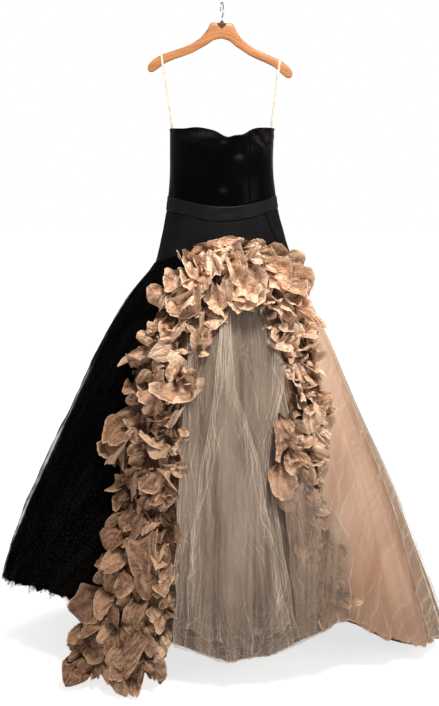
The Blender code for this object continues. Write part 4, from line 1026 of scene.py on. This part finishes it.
# height, angles of both edges of each ruffle strip
crownEdges = np.array([
    (-0.815, -41.0, 62.0), (-0.755, -38.0, 56.0), (-0.705, -32.0, 50.0), (-0.660, -22.0, 40.0),
    (-0.624, -8.0, 26.0),
])
leftEdges = np.array([
    (-1.840, -36.0, -17.0), (-1.680, -36.0, -11.5), (-1.580, -31.0, -11.0), (-1.450, -30.5, -11.5),
    (-1.290, -34.0, -13.0), (-1.160, -38.0, -13.5), (-1.040, -40.0, -15.0), (-0.940, -40.0, -8.0),
    (-0.840, -39.0, 3.0),
])
rightEdges = np.array([
    (-1.660, 25.0, 34.0), (-1.560, 21.0, 34.5), (-1.430, 19.5, 34.0), (-1.280, 19.0, 34.0),
    (-1.170, 19.0, 40.0), (-1.110, 26.5, 47.0), (-1.040, 32.0, 49.0), (-0.920, 30.0, 53.0),
    (-0.840, 25.0, 58.0),
])
# The same for the opening under the crown, where the front panel shows.
archEdges = np.array([(-0.900, 2.0, 25.0), (-0.800, 3.0, 24.0), (-0.755, 14.0, 14.0)])

# Petals: their sizes, lift from the skirt, bend, turn at both edges of the strip (lean),
# how far they may stand off (proud), creases, and the painted shade by height (shade)
# and across the strip's sides.
ruffleBase = {
    "kinds": ("fan", "cup", "bowl"), "spread": 45.0, "folds": 10, "innerPart": 1.0, "paintedFlankShade": 0.1, "large": (),
    "rootOut": (0.004, 0.014), "largeOut": 0.024, "sizes": (0.62, 0.80, 1.6), "edgeInset": 0.86,
    "placeJitter": 0.3, "rowJitter": 0.45, "thinned": {"angle": 26.0, "height": -0.79, "share": 0.65},
}
ruffleLook = fullLooks({
    "ruffleCrown": {
        "node": "ruffle_crown", "edges": crownEdges, "top": -0.652, "foot": -0.812, "rows": 8,
        "spacing": 0.04,
        "width": (0.060, 0.102), "length": (0.044, 0.072), "lift": (30.0, 78.0), "bend": (-10.0, 90.0),
        "lean": (-60.0, 50.0), "proud": 0.20, "folds": 8, "steep": 0.52, "seed": 11, "flat": (0.10, 6.5),
        "shade": ((-0.82, 0.06), (-0.72, 0.0), (-0.62, 0.0)), "large": crownPetals,
    },
    "ruffleLeftUpper": {
        "node": "ruffle_left_upper", "edges": leftEdges, "top": -0.835, "foot": -1.300, "rows": 17,
        "spacing": 0.034, "width": (0.048, 0.096), "length": (0.036, 0.072), "lift": (25.0, 80.0),
        "bend": (-25.0, 110.0), "lean": (-40.0, 40.0), "proud": 0.16, "spread": 70.0, "steep": 0.56,
        "seed": 12, "flat": (0.08, 7.0), "shade": ((-1.32, 0.85), (-1.05, 0.55), (-0.95, 0.20), (-0.83, 0.0)),
        "paintedFlankShade": 0.40,
    },
    "ruffleLeftLower": {
        "node": "ruffle_left_lower", "edges": leftEdges, "top": -1.310, "foot": -1.790, "rows": 17,
        "spacing": 0.035, "width": (0.046, 0.086), "length": (0.060, 0.115), "lift": (6.0, 38.0),
        "bend": (0.0, 60.0), "lean": (-14.0, 14.0), "proud": 0.075, "kinds": ("leaf", "bowl", "leaf", "cup"),
        "spread": 36.0, "folds": 12, "steep": 0.54, "innerPart": 0.72, "seed": 13, "flat": (0.09, 9.0),
        "shade": ((-1.80, 0.80), (-1.60, 0.80), (-1.31, 0.85)), "paintedFlankShade": 0.4,
    },
    "ruffleRightUpper": {
        "node": "ruffle_right_upper", "edges": rightEdges, "top": -0.835, "foot": -1.245, "rows": 17,
        "spacing": 0.028, "width": (0.036, 0.072), "length": (0.028, 0.056), "lift": (28.0, 80.0),
        "bend": (0.0, 110.0), "lean": (-10.0, 55.0), "proud": 0.16, "spread": 65.0, "steep": 0.60,
        "seed": 14, "flat": (0.06, 4.5), "shade": ((-1.25, 0.45), (-1.05, 0.15), (-0.83, 0.0)),
    },
    "ruffleRightLower": {
        "node": "ruffle_right_lower", "edges": rightEdges, "top": -1.250, "foot": -1.625, "rows": 14,
        "spacing": 0.032, "width": (0.040, 0.066), "length": (0.036, 0.056), "lift": (6.0, 26.0),
        "bend": (10.0, 70.0), "lean": (-20.0, 10.0), "proud": 0.050, "steep": 0.60, "seed": 15,
        "flat": (0.06, 3.2), "shade": ((-1.66, 0.75), (-1.45, 0.50), (-1.25, 0.50)), "paintedFlankShade": 0.2,
        "large": rightPetals,
    },
}, ruffleBase)
petalLook = {
    "grid": 23, "largeGrid": 31, "roll": (0.02, 0.16), "cup": (-0.50, 0.60), "bowl": (0.20, 0.55),
    "pleats": 0.08, "fine": 0.28, "fineFolds": 16, "softness": 0.0004, "frill": (0.10, 0.22),
    "waves": (1.5, 2.0, 2.5, 3.0),
    "fanAngle": (58.0, 92.0), "paintedFoldWidth": 0.0030, "paintedFoldBend": 0.0022, "layFrom": -1.825, "layDepth": 0.055,
}


# Straight creases across a petal's flat cut, as in crumpled paper, with a mask of
# their crests (above 0) and valleys (below 0), for painted highlight and painted shade.
def creasedHeight(chance, p, q, count, steep, size):
    height, paintedFoldLight = 0.0 * p, 0.0 * p
    for _ in range(count):
        turn = chance.uniform(0.0, math.pi)
        offset = chance.uniform(-0.5, 0.5) * size
        slope = chance.uniform(0.35, 1.0) * steep * chance.choice((-1.0, 1.0))
        distance = p * math.cos(turn) + q * math.sin(turn) - offset
        height = height + slope * np.sqrt(distance ** 2 + petalLook["softness"] ** 2)
        paintedFoldLight = paintedFoldLight - slope / 0.5 * bell(distance, petalLook["paintedFoldWidth"])
    return height - height.mean(), paintedFoldLight


# A zigzag between -0.5 and 0.5, one for each whole step.
def zigzag(value):
    return 2.0 * np.abs(value - np.round(value)) - 0.5


# Flat cuts: places across (p) and along (q) the petal, its own height, rim and reach.
# s runs across and t, or run, along it. A fan widens from its root and is frilled.
def fanCut(chance, width, length, s, run, seed, phase):
    look = petalLook
    ray = math.radians(chance.uniform(*look["fanAngle"])) * s
    edge = 1.0 + 0.16 * ripple(s * 2.2, seed, seed) + 0.09 * ripple(s * 7.0, seed, seed + 1)
    p = 0.5 * width * np.sin(ray) * run * edge
    q = length * (0.22 + 0.78 * np.cos(ray)) * run * edge
    frill = chance.uniform(*look["frill"]) * length * run ** 1.2
    wave = chance.choice(look["waves"]) * np.pi * s + phase + 0.8 * ripple(s * 1.5, run, seed + 2)
    pleat = s * chance.choice((3.0, 4.0, 5.0)) + 0.6 * ripple(s * 2.0, run * 0.6, seed + 3)
    height = frill * np.sin(wave) + 0.03 * length * run * zigzag(pleat)
    return p, q, height, smoothStep(0.91, 1.0, run), np.clip(run * edge, 0.0, 1.3)


# A leaf is long, with a pleat down its middle.
def leafCut(chance, width, length, s, run, seed, phase):
    profile = np.sin(np.pi * run ** 0.7) ** 0.6 * (1.0 + 0.25 * ripple(run * 3.0, 0.5, seed))
    p = 0.5 * width * (0.12 + 0.88 * profile) * s + 0.14 * width * ripple(run * 1.5, 2.5, seed + 1)
    q = length * run * (1.0 + 0.14 * ripple(s * 2.4, 0.5, seed + 2))
    pleat = s * chance.choice((0.7, 1.0, 1.4)) + 1.3 * ripple(run * 2.6, s * 1.4, seed + 4) + phase
    height = 0.13 * width * zigzag(pleat) * np.sin(np.pi * run ** 0.8) ** 0.5
    spine = s - 0.25 * ripple(run * 2.0, 0.2, seed + 3)
    side = 0.22 * width * chance.choice((-1.0, 1.0)) * (np.abs(spine) - 0.5)
    height = height + side * (0.4 + 0.6 * np.sin(np.pi * run))
    height = height + 0.10 * width * np.sin(2.5 * np.pi * run + phase) * np.abs(s)
    rim = np.maximum(smoothStep(0.90, 1.0, np.abs(s)), smoothStep(0.95, 1.0, run))
    return p, q, height, rim, 0.15 + 0.85 * run


# A cup or a bowl is a cut with worn corners, as torn squares of cloth have. A bowl's is
# rounder, and soft folds run out from its root, as gathered cloth does.
def roundCut(chance, bowl, width, length, s, t, seed, phase):
    look = petalLook
    discX, discY = s * np.sqrt(1.0 - 0.5 * t * t), t * np.sqrt(1.0 - 0.5 * s * s)
    radius, heading = np.hypot(discX, discY), np.arctan2(discX, discY)
    sector = 2.0 * math.pi / chance.choice((7, 8, 9) if bowl else (4, 4, 5))
    within = np.mod(heading + phase, sector) - 0.5 * sector
    edge = 0.25 + 0.75 * (1.04 if bowl else 1.12) * math.cos(0.5 * sector) / np.cos(within)
    edge = edge + 0.12 * ripple(heading * 1.5, radius * 0.4, seed)
    edge = edge + 0.06 * ripple(heading * 5.0, radius, seed + 1)
    reach = np.clip(0.5 * (1.0 + discY * edge), 0.0, 1.3)
    p = 0.5 * width * discX * edge * (0.30 + 0.70 * smoothStep(-0.05, 0.50, reach))
    pleats = np.maximum(1.0 - reach, 0.0) ** 1.5 * np.cos(3.5 * np.pi * discX + phase)
    height = look["pleats"] * width * pleats
    cupped = chance.uniform(*look["bowl" if bowl else "cup"])
    height = height + cupped * width * discX ** 2 * smoothStep(0.1, 0.6, reach)
    rolled = 0.6 + 0.8 * np.sin(chance.choice((2.0, 3.0)) * heading + phase)
    outer = np.clip((radius - 0.55) / 0.45, 0.0, 1.0) ** 1.6
    height = height + chance.uniform(*look["roll"]) * width * outer * rolled
    if bowl:
        ray = np.arctan2(discX, 1.15 + discY) * chance.uniform(4.5, 6.5)
        ray = ray + 0.5 * ripple(discX * 1.5, discY * 1.5, seed + 2)
        strength = 0.055 * np.clip(0.6 + 1.2 * ripple(discX * 2.0, discY * 1.5, seed + 3), 0.1, 1.3)
        height = height + strength * width * np.sin(2.0 * ray + phase) * smoothStep(0.0, 0.7, reach)
    return p, length * reach, height, smoothStep(0.90, 1.0, radius) * smoothStep(0.2, 0.5, reach), reach


def petalCut(chance, kind, width, length, grid):
    even = np.linspace(-1.0, 1.0, grid)
    t, s = np.meshgrid(even, even, indexing="ij")
    seed, phase = chance.randrange(100000), chance.uniform(0.0, 6.28)
    if kind in ("cup", "bowl"):
        return roundCut(chance, kind == "bowl", width, length, s, t, seed, phase)
    return (fanCut if kind == "fan" else leafCut)(chance, width, length, s, 0.5 * (1.0 + t), seed, phase)


# Crests and valleys of a petal's height, read from how it bends from point to point, for painted highlight
# and painted shade.
def paintedFoldLightMask(height):
    padded = np.pad(height, 1, mode="edge")
    bent = 4.0 * height - padded[2:, 1:-1] - padded[:-2, 1:-1] - padded[1:-1, 2:] - padded[1:-1, :-2]
    bent[0, :], bent[-1, :], bent[:, 0], bent[:, -1] = 0.0, 0.0, 0.0, 0.0
    return bent / petalLook["paintedFoldBend"]


# One petal: its cut, creased, then bent over from its root.
def petal(chance, kind, look, place, width, length, lift, bend, creasing=1.0, grid=petalLook["grid"]):
    p, q, height, rim, reach = petalCut(chance, kind, width, length, grid)
    size, middle = max(width, length), q - 0.5 * length
    creased, paintedFoldLight = creasedHeight(chance, p, middle, look["folds"], look["steep"] * creasing, size)
    fine = petalLook["fine"] * creasing
    small, smallPaintedFoldLight = creasedHeight(chance, p, middle, petalLook["fineFolds"], fine, size)
    paintedFoldLight = 0.6 * (paintedFoldLight + smallPaintedFoldLight) + paintedFoldLightMask(height)
    height = height + (creased + small) * smoothStep(0.0, 0.40, q / length)
    lift, bend = math.radians(lift), math.radians(bend)
    bend = bend if abs(bend) > 0.05 else 0.05  # a straight petal is taken as a slight bend
    slope = lift - bend * q / length
    ahead = length * (math.sin(lift) - np.sin(slope)) / bend - np.sin(slope) * height
    stand = length * (np.cos(slope) - math.cos(lift)) / bend + np.cos(slope) * height
    stand = np.where(stand > 0.0, look["proud"] * (1.0 - np.exp(-stand / look["proud"])), stand)
    root, (side, grow, away) = place
    points = root + side * p[..., None] + grow * ahead[..., None] + away * stand[..., None]
    shift = chance.uniform(0.0, 40.0)
    return aboveFloor(points), np.stack([p + shift, q + shift], axis=-1), rim, reach, np.clip(paintedFoldLight, -1.0, 1.0)


# Petals at the foot lie down softly just above the floor.
def aboveFloor(points):
    layFrom, layDepth = petalLook["layFrom"], petalLook["layDepth"]
    below = np.maximum(layFrom - points[..., 2], 0.0)
    laid = layFrom - layDepth * (1.0 - np.exp(-below / layDepth))
    points[..., 2] = np.where(below > 0.0, laid, points[..., 2])
    return points


# The root of a petal on the skirt, and its directions for a turn away from straight down.
def petalPlace(angle, height, turn, base):
    root = formPoint(angle, height, base)
    along = formPoint(angle + 0.4, height, base) - root
    down = formPoint(angle, height - 0.004, base) - root
    along, down = (step / np.linalg.norm(step) for step in (along, down))
    away = np.cross(along, down)
    away = away / np.linalg.norm(away)
    if np.dot(away, root * np.array((1.0, 1.0, 0.0))) < 0.0:
        away = -away
    grow = math.cos(turn) * down + math.sin(turn) * along
    side = math.cos(turn) * along - math.sin(turn) * down
    return root, (side, grow, away)


# The front panel shows under the arch, so no petal starts there.
def underArch(angle, height):
    low, high = (readStraight(archEdges, k, height) for k in (1, 2))
    return height < archEdges[-1, 0] and low < angle < high


# The gathered strip that carries the petals. Its reach is set near the root, so it is painted dark with the
# root's painted shade.
def ruffleStrip(look):
    heights = np.linspace(look["top"] + 0.012, look["foot"] + 0.012, 70)[:, None]
    low, high = (readStraight(look["edges"], k, heights) for k in (1, 2))
    angles = low + (high - low) * np.linspace(0.03, 0.97, 60)[None, :]
    heights = heights + 0.0 * angles
    out = 0.005 + 0.009 * crease(angles / 2.2, heights * 24.0, look["seed"], 2.0)
    out = out + 0.004 * crease(angles / 0.9, heights * 60.0, look["seed"] + 1, 2.0)
    flat = np.zeros(angles.shape)
    uv = np.stack([angles * 0.008, heights], axis=-1)
    return formPoint(angles, heights, out), uv, flat, flat + 0.10, flat


def buildRuffle(name, look):
    chance = random.Random(look["seed"])
    points, uv, faces = [], [], []
    masks = {key: [] for key in ("tone", "rim", "shade", "reach", "paintedFoldLight")}
    dark = np.array(look["shade"])

    def take(made, tone, across):
        grid, place, rim, reach, paintedFoldLight = made
        faces.extend(gridFaces(*grid.shape[:2], first=sum(len(part) for part in points)))
        points.append(grid.reshape(-1, 3))
        uv.append(place.reshape(-1, 2))
        # Painted shade: darker lower down, darker at the strip's left side and lighter at its right.
        paintedFlankShade = smoothStep(0.1, -0.9, across) - 0.7 * smoothStep(0.2, 0.9, across)
        shade = np.clip(readStraight(dark, 1, grid[..., 2]) + look["paintedFlankShade"] * paintedFlankShade, 0.0, 1.0)
        own = {"tone": tone + 0.0 * rim, "rim": rim, "shade": shade, "reach": reach, "paintedFoldLight": paintedFoldLight}
        for key, values in own.items():
            masks[key].append(values.ravel())

    take(ruffleStrip(look), 0.0, 0.0)
    gap = (look["top"] - look["foot"]) / (look["rows"] - 1)
    thinned = look["thinned"]
    for row in range(look["rows"]):
        level = look["top"] - gap * row
        low, high = (float(readStraight(look["edges"], k, level)) for k in (1, 2))
        middle = 0.5 * (low + high)
        wide = (high - low) * float(metresPerDegree(middle, level))
        places = max(2, round(wide / look["spacing"]))
        for place in range(places):
            jitter = chance.uniform(-look["placeJitter"], look["placeJitter"])
            across = ((place + 0.5 + jitter) / places * 2.0 - 1.0) * look["edgeInset"]
            height = level + chance.uniform(-look["rowJitter"], look["rowJitter"]) * gap
            lean = look["lean"][0] * -across if across < 0.0 else look["lean"][1] * across
            turn = math.radians(lean + chance.uniform(-1.0, 1.0) * look["spread"])
            angle = middle + 0.5 * (high - low) * across
            spot = petalPlace(angle, height, turn, chance.uniform(*look["rootOut"]))
            smallest, more, power = look["sizes"]
            size = smallest + more * chance.random() ** power
            kind, width = chance.choice(look["kinds"]), chance.uniform(*look["width"]) * size
            length = chance.uniform(*look["length"]) * size * (look["innerPart"] if across > 0.45 else 1.0)
            lift, bend = chance.uniform(*look["lift"]), chance.uniform(*look["bend"])
            made = petal(chance, kind, look, spot, width, length, lift, bend)
            atFlank = angle > thinned["angle"] and height > thinned["height"]
            if underArch(angle, height) or (atFlank and chance.random() < thinned["share"]):
                continue
            take(made, chance.random(), across)
    for kind, angle, height, turn, width, length, lift, bend, creasing in look["large"]:
        spot = petalPlace(angle, height, math.radians(turn), look["largeOut"])
        made = petal(chance, kind, look, spot, width, length, lift, bend, creasing, petalLook["largeGrid"])
        take(made, chance.random(), 0.0 if angle > -15.0 else -0.5)
    masks = {key: np.concatenate(values) for key, values in masks.items()}
    cloth = finish["crumpledOrganza"]
    piece = addMesh(name, np.concatenate(points), faces, cloth, np.concatenate(uv), masks)
    dressPiece(piece, look["node"])
    print("  ", name, len(points) - 1, "petals, area", clothArea(piece))


# Arm: distance from the middle, then its top, its underside and half its depth.
barLook = {
    "arm": np.array([
        (0.000, -0.0525, -0.0940, 0.0065), (0.020, -0.0525, -0.0985, 0.0065),
        (0.030, -0.0530, -0.1050, 0.0065), (0.035, -0.0620, -0.1090, 0.0065),
        (0.041, -0.0740, -0.1135, 0.0065), (0.055, -0.0920, -0.1215, 0.0063),
        (0.077, -0.1085, -0.1345, 0.0061), (0.100, -0.1195, -0.1440, 0.0060),
        (0.125, -0.1295, -0.1530, 0.0060), (0.150, -0.1385, -0.1640, 0.0060),
        (0.170, -0.1470, -0.1800, 0.0060), (0.185, -0.1570, -0.1905, 0.0058),
        (0.195, -0.1670, -0.1910, 0.0052), (0.200, -0.1750, -0.1850, 0.0040),
    ]),
    "tilt": 2.44, "sections": 120, "corners": 28, "squareness": 3.2, "endCrowding": 1.25,
    "wedge": {"half": 0.0125, "top": -0.0558, "deep": 0.0130, "proud": 0.0003, "thick": 0.0016, "steps": 25},
}


def tiltedBar(points):
    tilt, pivot = math.radians(barLook["tilt"]), barLook["arm"][0, 1]
    x, z = points[..., 0], points[..., 2] - pivot
    turned = points.copy()
    turned[..., 0] = x * math.cos(tilt) + z * math.sin(tilt)
    turned[..., 2] = z * math.cos(tilt) - x * math.sin(tilt) + pivot
    return turned


def buildBar():
    look, arm = barLook, barLook["arm"]
    share = np.linspace(-1.0, 1.0, look["sections"])[:, None]
    reach = np.sign(share) * arm[-1, 0] * (1.0 - (1.0 - np.abs(share)) ** look["endCrowding"])
    turn = np.linspace(0.0, 2.0 * np.pi, look["corners"], endpoint=False)
    power = 2.0 / look["squareness"]
    roundY, roundZ = (np.sign(f) * np.abs(f) ** power for f in (np.cos(turn), np.sin(turn)))
    upper, lower, half = (readStraight(arm, k, np.abs(reach)) for k in (1, 2, 3))
    y, z = half * roundY, 0.5 * (upper + lower) + 0.5 * (upper - lower) * roundZ
    x = reach + 0.0 * y
    rows, columns = x.shape
    faces = gridFaces(rows, columns, closed=True)
    faces += [tuple(range(columns))[::-1], tuple(range((rows - 1) * columns, rows * columns))]
    uv = np.stack([x, z - 0.72 * lower + 0.3 * y], axis=-1)
    piece = addMesh("hangerBar", tiltedBar(np.stack([x, y, z], axis=-1)), faces, finish["varnishedWood"], uv)
    dressPiece(piece, "hanger_bar")

    # A dark rounded wedge under the hook, let into the front.
    wedge = look["wedge"]
    sides = np.linspace(-1.0, 1.0, wedge["steps"])
    drops = wedge["deep"] * (1.0 - np.abs(sides)) ** 0.8
    outline = [(side * wedge["half"], wedge["top"] - drop) for side, drop in zip(sides, drops)]
    outline += [(side * wedge["half"] * 0.98, wedge["top"] + wedge["thick"]) for side in (1.0, -1.0)]
    front, count = -(arm[0, 3] + wedge["proud"]), len(outline)
    corners = np.array([(x, y, z) for y in (front, front + wedge["thick"]) for x, z in outline])
    faces = [(k, (k + 1) % count, count + (k + 1) % count, count + k) for k in range(count)]
    faces = [tuple(range(count))[::-1]] + faces
    darkWedgePiece = addMesh("hangerDarkWedge", tiltedBar(corners), faces, finish["darkWedgeFinish"], smooth=False)
    dressPiece(darkWedgePiece, None)
    print("bar built")


# Stem: distance from the middle and height up to the bend, which is part of a circle.
hookLook = {
    "wire": 0.0016, "innerRadius": 0.017, "turn": 12.0, "bend": (-5.0, 205.0), "steps": 25,
    "stem": ((0.0, -0.0479), (0.0, -0.0440), (0.0025, -0.0385), (0.0090, -0.0325), (0.0150, -0.0260)),
}


def buildHook():
    look = hookLook
    radius, low = look["innerRadius"] + look["wire"], look["innerRadius"]
    bend = np.radians(np.linspace(*look["bend"], look["steps"]))
    route = list(look["stem"]) + [(radius * math.cos(turn), radius * math.sin(turn) - low) for turn in bend]
    curve = bpy.data.curves.new("hangerHook", "CURVE")
    curve.dimensions = "3D"
    curve.bevel_depth = look["wire"]
    curve.bevel_resolution = 5
    curve.use_fill_caps = True
    spline = curve.splines.new("POLY")
    spline.points.add(len(route) - 1)
    heading = math.radians(look["turn"])
    for point, (q, z) in zip(spline.points, route):
        point.co = (q * math.sin(heading), q * math.cos(heading), z, 1.0)
    spline.use_smooth = True
    curve.materials.append(finish["hookSteel"])
    piece = bpy.data.objects.new("hangerHook", curve)
    bpy.context.scene.collection.objects.link(piece)
    dressPiece(piece, "hanger_hook")
    print("hook built")


# Section: places across the ribbon and through it, as shares of its width and thickness.
loopLook = {
    "ribbons": (("ribbonLeft", "loop_left", -1.0), ("ribbonRight", "loop_right", 1.0)),
    "width": 0.0060, "thickness": 0.0008, "reach": 0.1635, "foot": -0.368, "seat": 0.0008, "wall": 0.0020,
    "gap": 0.0003, "twist": 22.0, "sway": 0.0007, "steps": 7,
    "section": (
        (-1.0, 0.2), (-0.9, 0.0), (0.0, 0.08), (0.9, 0.0), (1.0, 0.2), (1.0, 0.8), (0.9, 1.0), (0.0, 0.88),
        (-0.9, 1.0), (-1.0, 0.8),
    ),
}


# Ribbon loops over the arms, down inside the side seams, along the solids' own route.
def ribbonRoute(side):
    look, arm = loopLook, barLook["arm"]
    over, beside = (
        tiltedBar(np.array([side * reach, 0.0, float(readStraight(arm, 1, reach))]))
        for reach in (look["reach"], look["reach"] + 0.004)
    )
    slope = (beside[2] - over[2]) / (beside[0] - over[0])
    upper, lower, depth = (float(readStraight(arm, k, look["reach"])) for k in (1, 2, 3))
    enter = float(readSmooth(neckline, 1, 90.0)) + 0.008
    levels = np.array([enter, 0.5 * (enter + look["foot"]), look["foot"]])
    inside = float(np.min(np.abs(formPoint(90.0 * side, levels, -look["wall"])[:, 0])))
    footX = side * (inside - 0.5 * look["width"] - look["seat"])
    out, top = depth + look["gap"], over[2] + look["gap"] + 0.0012
    half = [
        (0.0, top), (0.55 * out, top - 0.0002), (out, over[2] - 0.0012), (out + 0.0003, over[2] - 0.010),
        (out, over[2] - (upper - lower) - 0.004), (0.0045, over[2] - 0.085), (0.0028, -0.290),
        (0.0020, enter), (0.0009, look["foot"] + 0.010),
    ]
    route = np.array(half + [(0.0, look["foot"])] + [(-y, z) for y, z in reversed(half[1:])])
    return route, over, slope, enter, footX, top


# A closed curve through all the points of a route.
def smoothLoop(route, steps):
    def heading(before, here, after):
        along = after - before
        nearest = min(np.linalg.norm(here - before), np.linalg.norm(after - here))
        return along / np.linalg.norm(along) * nearest

    path = []
    for k in range(len(route)):
        a, b, c, d = (route[(k + n) % len(route)] for n in (-1, 0, 1, 2))
        start, end = heading(a, b, c), heading(b, c, d)
        for t in np.arange(steps) / steps:
            leaving = (2 * t ** 3 - 3 * t ** 2 + 1) * b + (t ** 3 - 2 * t ** 2 + t) * start
            path.append(leaving + (3 * t ** 2 - 2 * t ** 3) * c + (t ** 3 - t ** 2) * end)
    return np.array(path)


def buildRibbons():
    look = loopLook
    flat, push = np.array(look["section"]).T * np.array([[0.5 * look["width"]], [look["thickness"]]])
    for name, node, side in look["ribbons"]:
        route, over, slope, enter, footX, top = ribbonRoute(side)
        path = smoothLoop(route, look["steps"])
        run = np.roll(path, -1, axis=0) - np.roll(path, 1, axis=0)
        run = run / np.linalg.norm(run, axis=1)[:, None]
        y, z = path[:, :1], path[:, 1:]
        share = np.clip((over[2] - z) / (over[2] - enter), 0.0, 1.0)
        free = smoothStep(0.02, 0.3, share) * smoothStep(1.0, 0.8, share)
        x = over[0] + (footX - over[0]) * share + look["sway"] * free * ripple(z * 22.0, 0.5, 161)
        nearTop = np.maximum(0.0, 1.0 - (top - z) / 0.05)
        twist = np.radians(look["twist"]) * free * ripple(z * 14.0, 0.5 + 0.2 * np.sign(y), 162)
        away = push + flat * np.sin(twist)
        rings = np.stack([
            x + flat * np.cos(twist), y - run[:, 1:] * away, z + run[:, :1] * away + flat * slope * nearTop,
        ], axis=-1)
        length = np.concatenate([[0.0], np.cumsum(np.linalg.norm(np.diff(path, axis=0), axis=1))])[:, None]
        uv = np.stack(np.broadcast_arrays(flat, length), axis=-1)
        rows, columns = len(path), len(flat)
        faces = []
        for r in range(rows):
            for c in range(columns):
                here, below, beside = r * columns, (r + 1) % rows * columns, (c + 1) % columns
                faces.append((here + c, here + beside, below + beside, below + c))
        dressPiece(addMesh(name, rings, faces, finish["creamRibbon"], uv), node)
    print("ribbons built")


# These nodes have the right shape already: they only get a better finish.
smallNodes = {"hanger_collar": "collarSteel", "zip_slider": "zipMetal", "zip_pull": "zipMetal"}


def restyleNodes():
    for node, name in smallNodes.items():
        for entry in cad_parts[node].material_slots:
            entry.material = finish[name]
    print("small nodes restyled")


stageLook = {
    "floor": -1.885, "halfSize": 14.0, "pale": (0.90, 0.895, 0.89), "glow": 0.72,
    "sky": 0.36, "skyColour": (1.0, 0.985, 0.97),
}


def buildStage():
    size, z, pale = stageLook["halfSize"], stageLook["floor"], stageLook["pale"]
    white = (1.0, 1.0, 1.0)
    material, tree, shader = startMaterial("paleFloor", {
        "Roughness": 0.9, "Specular IOR Level": 0.0, "Emission Color": white,
    })
    cloud = noise(tree, addNode(tree, "ShaderNodeTexCoord").outputs["Object"], 0.6, 2.0)
    seenFloor = addNode(tree, "ShaderNodeLightPath").outputs["Is Camera Ray"]
    setInputs(tree, shader, {
        "Base Color": mixColour(tree, cloud, tuple(c * 0.985 for c in pale), pale),
        "Emission Strength": times(tree, seenFloor, stageLook["glow"]),
    })
    corners = [(-size, -size, z), (size, -size, z), (size, size, z), (-size, size, z)]
    floor = addMesh("floor", corners, [(0, 1, 2, 3)], material)

    # The sky lights the dress softly, and the camera sees it white.
    world = bpy.data.worlds.new("studio")
    bpy.context.scene.world = world
    world.use_nodes = True
    tree = world.node_tree
    tree.nodes.clear()
    seen = addNode(tree, "ShaderNodeBackground", {"Color": white, "Strength": 1.0})
    soft = {"Color": stageLook["skyColour"], "Strength": stageLook["sky"]}
    lit = addNode(tree, "ShaderNodeBackground", soft)
    path = addNode(tree, "ShaderNodeLightPath").outputs["Is Camera Ray"]
    mix = addNode(tree, "ShaderNodeMixShader", {0: path, 1: lit.outputs[0], 2: seen.outputs[0]})
    addNode(tree, "ShaderNodeOutputWorld", {0: mix.outputs[0]})
    bpy.context.scene.view_settings.view_transform = "Standard"
    print("stage built")


lightLook = {
    "key": {
        "place": (0.45, -1.55, 1.45), "aim": (0.03, 0.0, -0.75), "size": 0.6, "power": 84.0,
        "colour": (1.0, 0.955, 0.90),
    },
    "fill": {
        "place": (2.2, -2.0, -0.2), "aim": (0.0, 0.0, -1.0), "size": 1.6, "power": 14.0,
        "colour": (1.0, 0.98, 0.96),
    },
    "back": {
        "place": (0.4, 2.4, 1.4), "aim": (0.0, 0.0, -1.0), "size": 1.6, "power": 45.0,
        "colour": (1.0, 0.98, 0.97),
    },
}
cameraLook = {"place": (-0.007, -2.8, -0.36), "tilt": 12.4736, "lens": 49.636, "sensor": 36.0}


def buildLights():
    for name, look in lightLook.items():
        light = bpy.data.lights.new(name, "AREA")
        light.shape = "DISK"
        light.size = look["size"]
        light.energy = look["power"]
        light.color = look["colour"]
        item = bpy.data.objects.new(name, light)
        bpy.context.scene.collection.objects.link(item)
        item.location = look["place"]
        x, y, z = np.array(look["aim"]) - np.array(look["place"])
        item.rotation_euler = (math.atan2(math.hypot(x, y), -z), 0.0, math.atan2(y, x) - math.pi / 2.0)
    print("lights set")


def buildCamera():
    camera = bpy.data.cameras.new("camera")
    camera.sensor_fit = "VERTICAL"
    camera.sensor_height = cameraLook["sensor"]
    camera.lens = cameraLook["lens"]
    item = bpy.data.objects.new("camera", camera)
    bpy.context.scene.collection.objects.link(item)
    item.location = cameraLook["place"]
    item.rotation_euler = (math.radians(90.0 - cameraLook["tilt"]), 0.0, 0.0)
    bpy.context.scene.camera = item
    print("camera set")


buildCamera()
buildLights()
buildStage()
buildBar()
buildHook()
restyleNodes()
buildRibbons()
buildBodice()
buildWaistband()
buildYoke()
buildUnderskirt()
buildSkirt()
for name, look in ruffleLook.items():
    buildRuffle(name, look)
print("ruffles built")
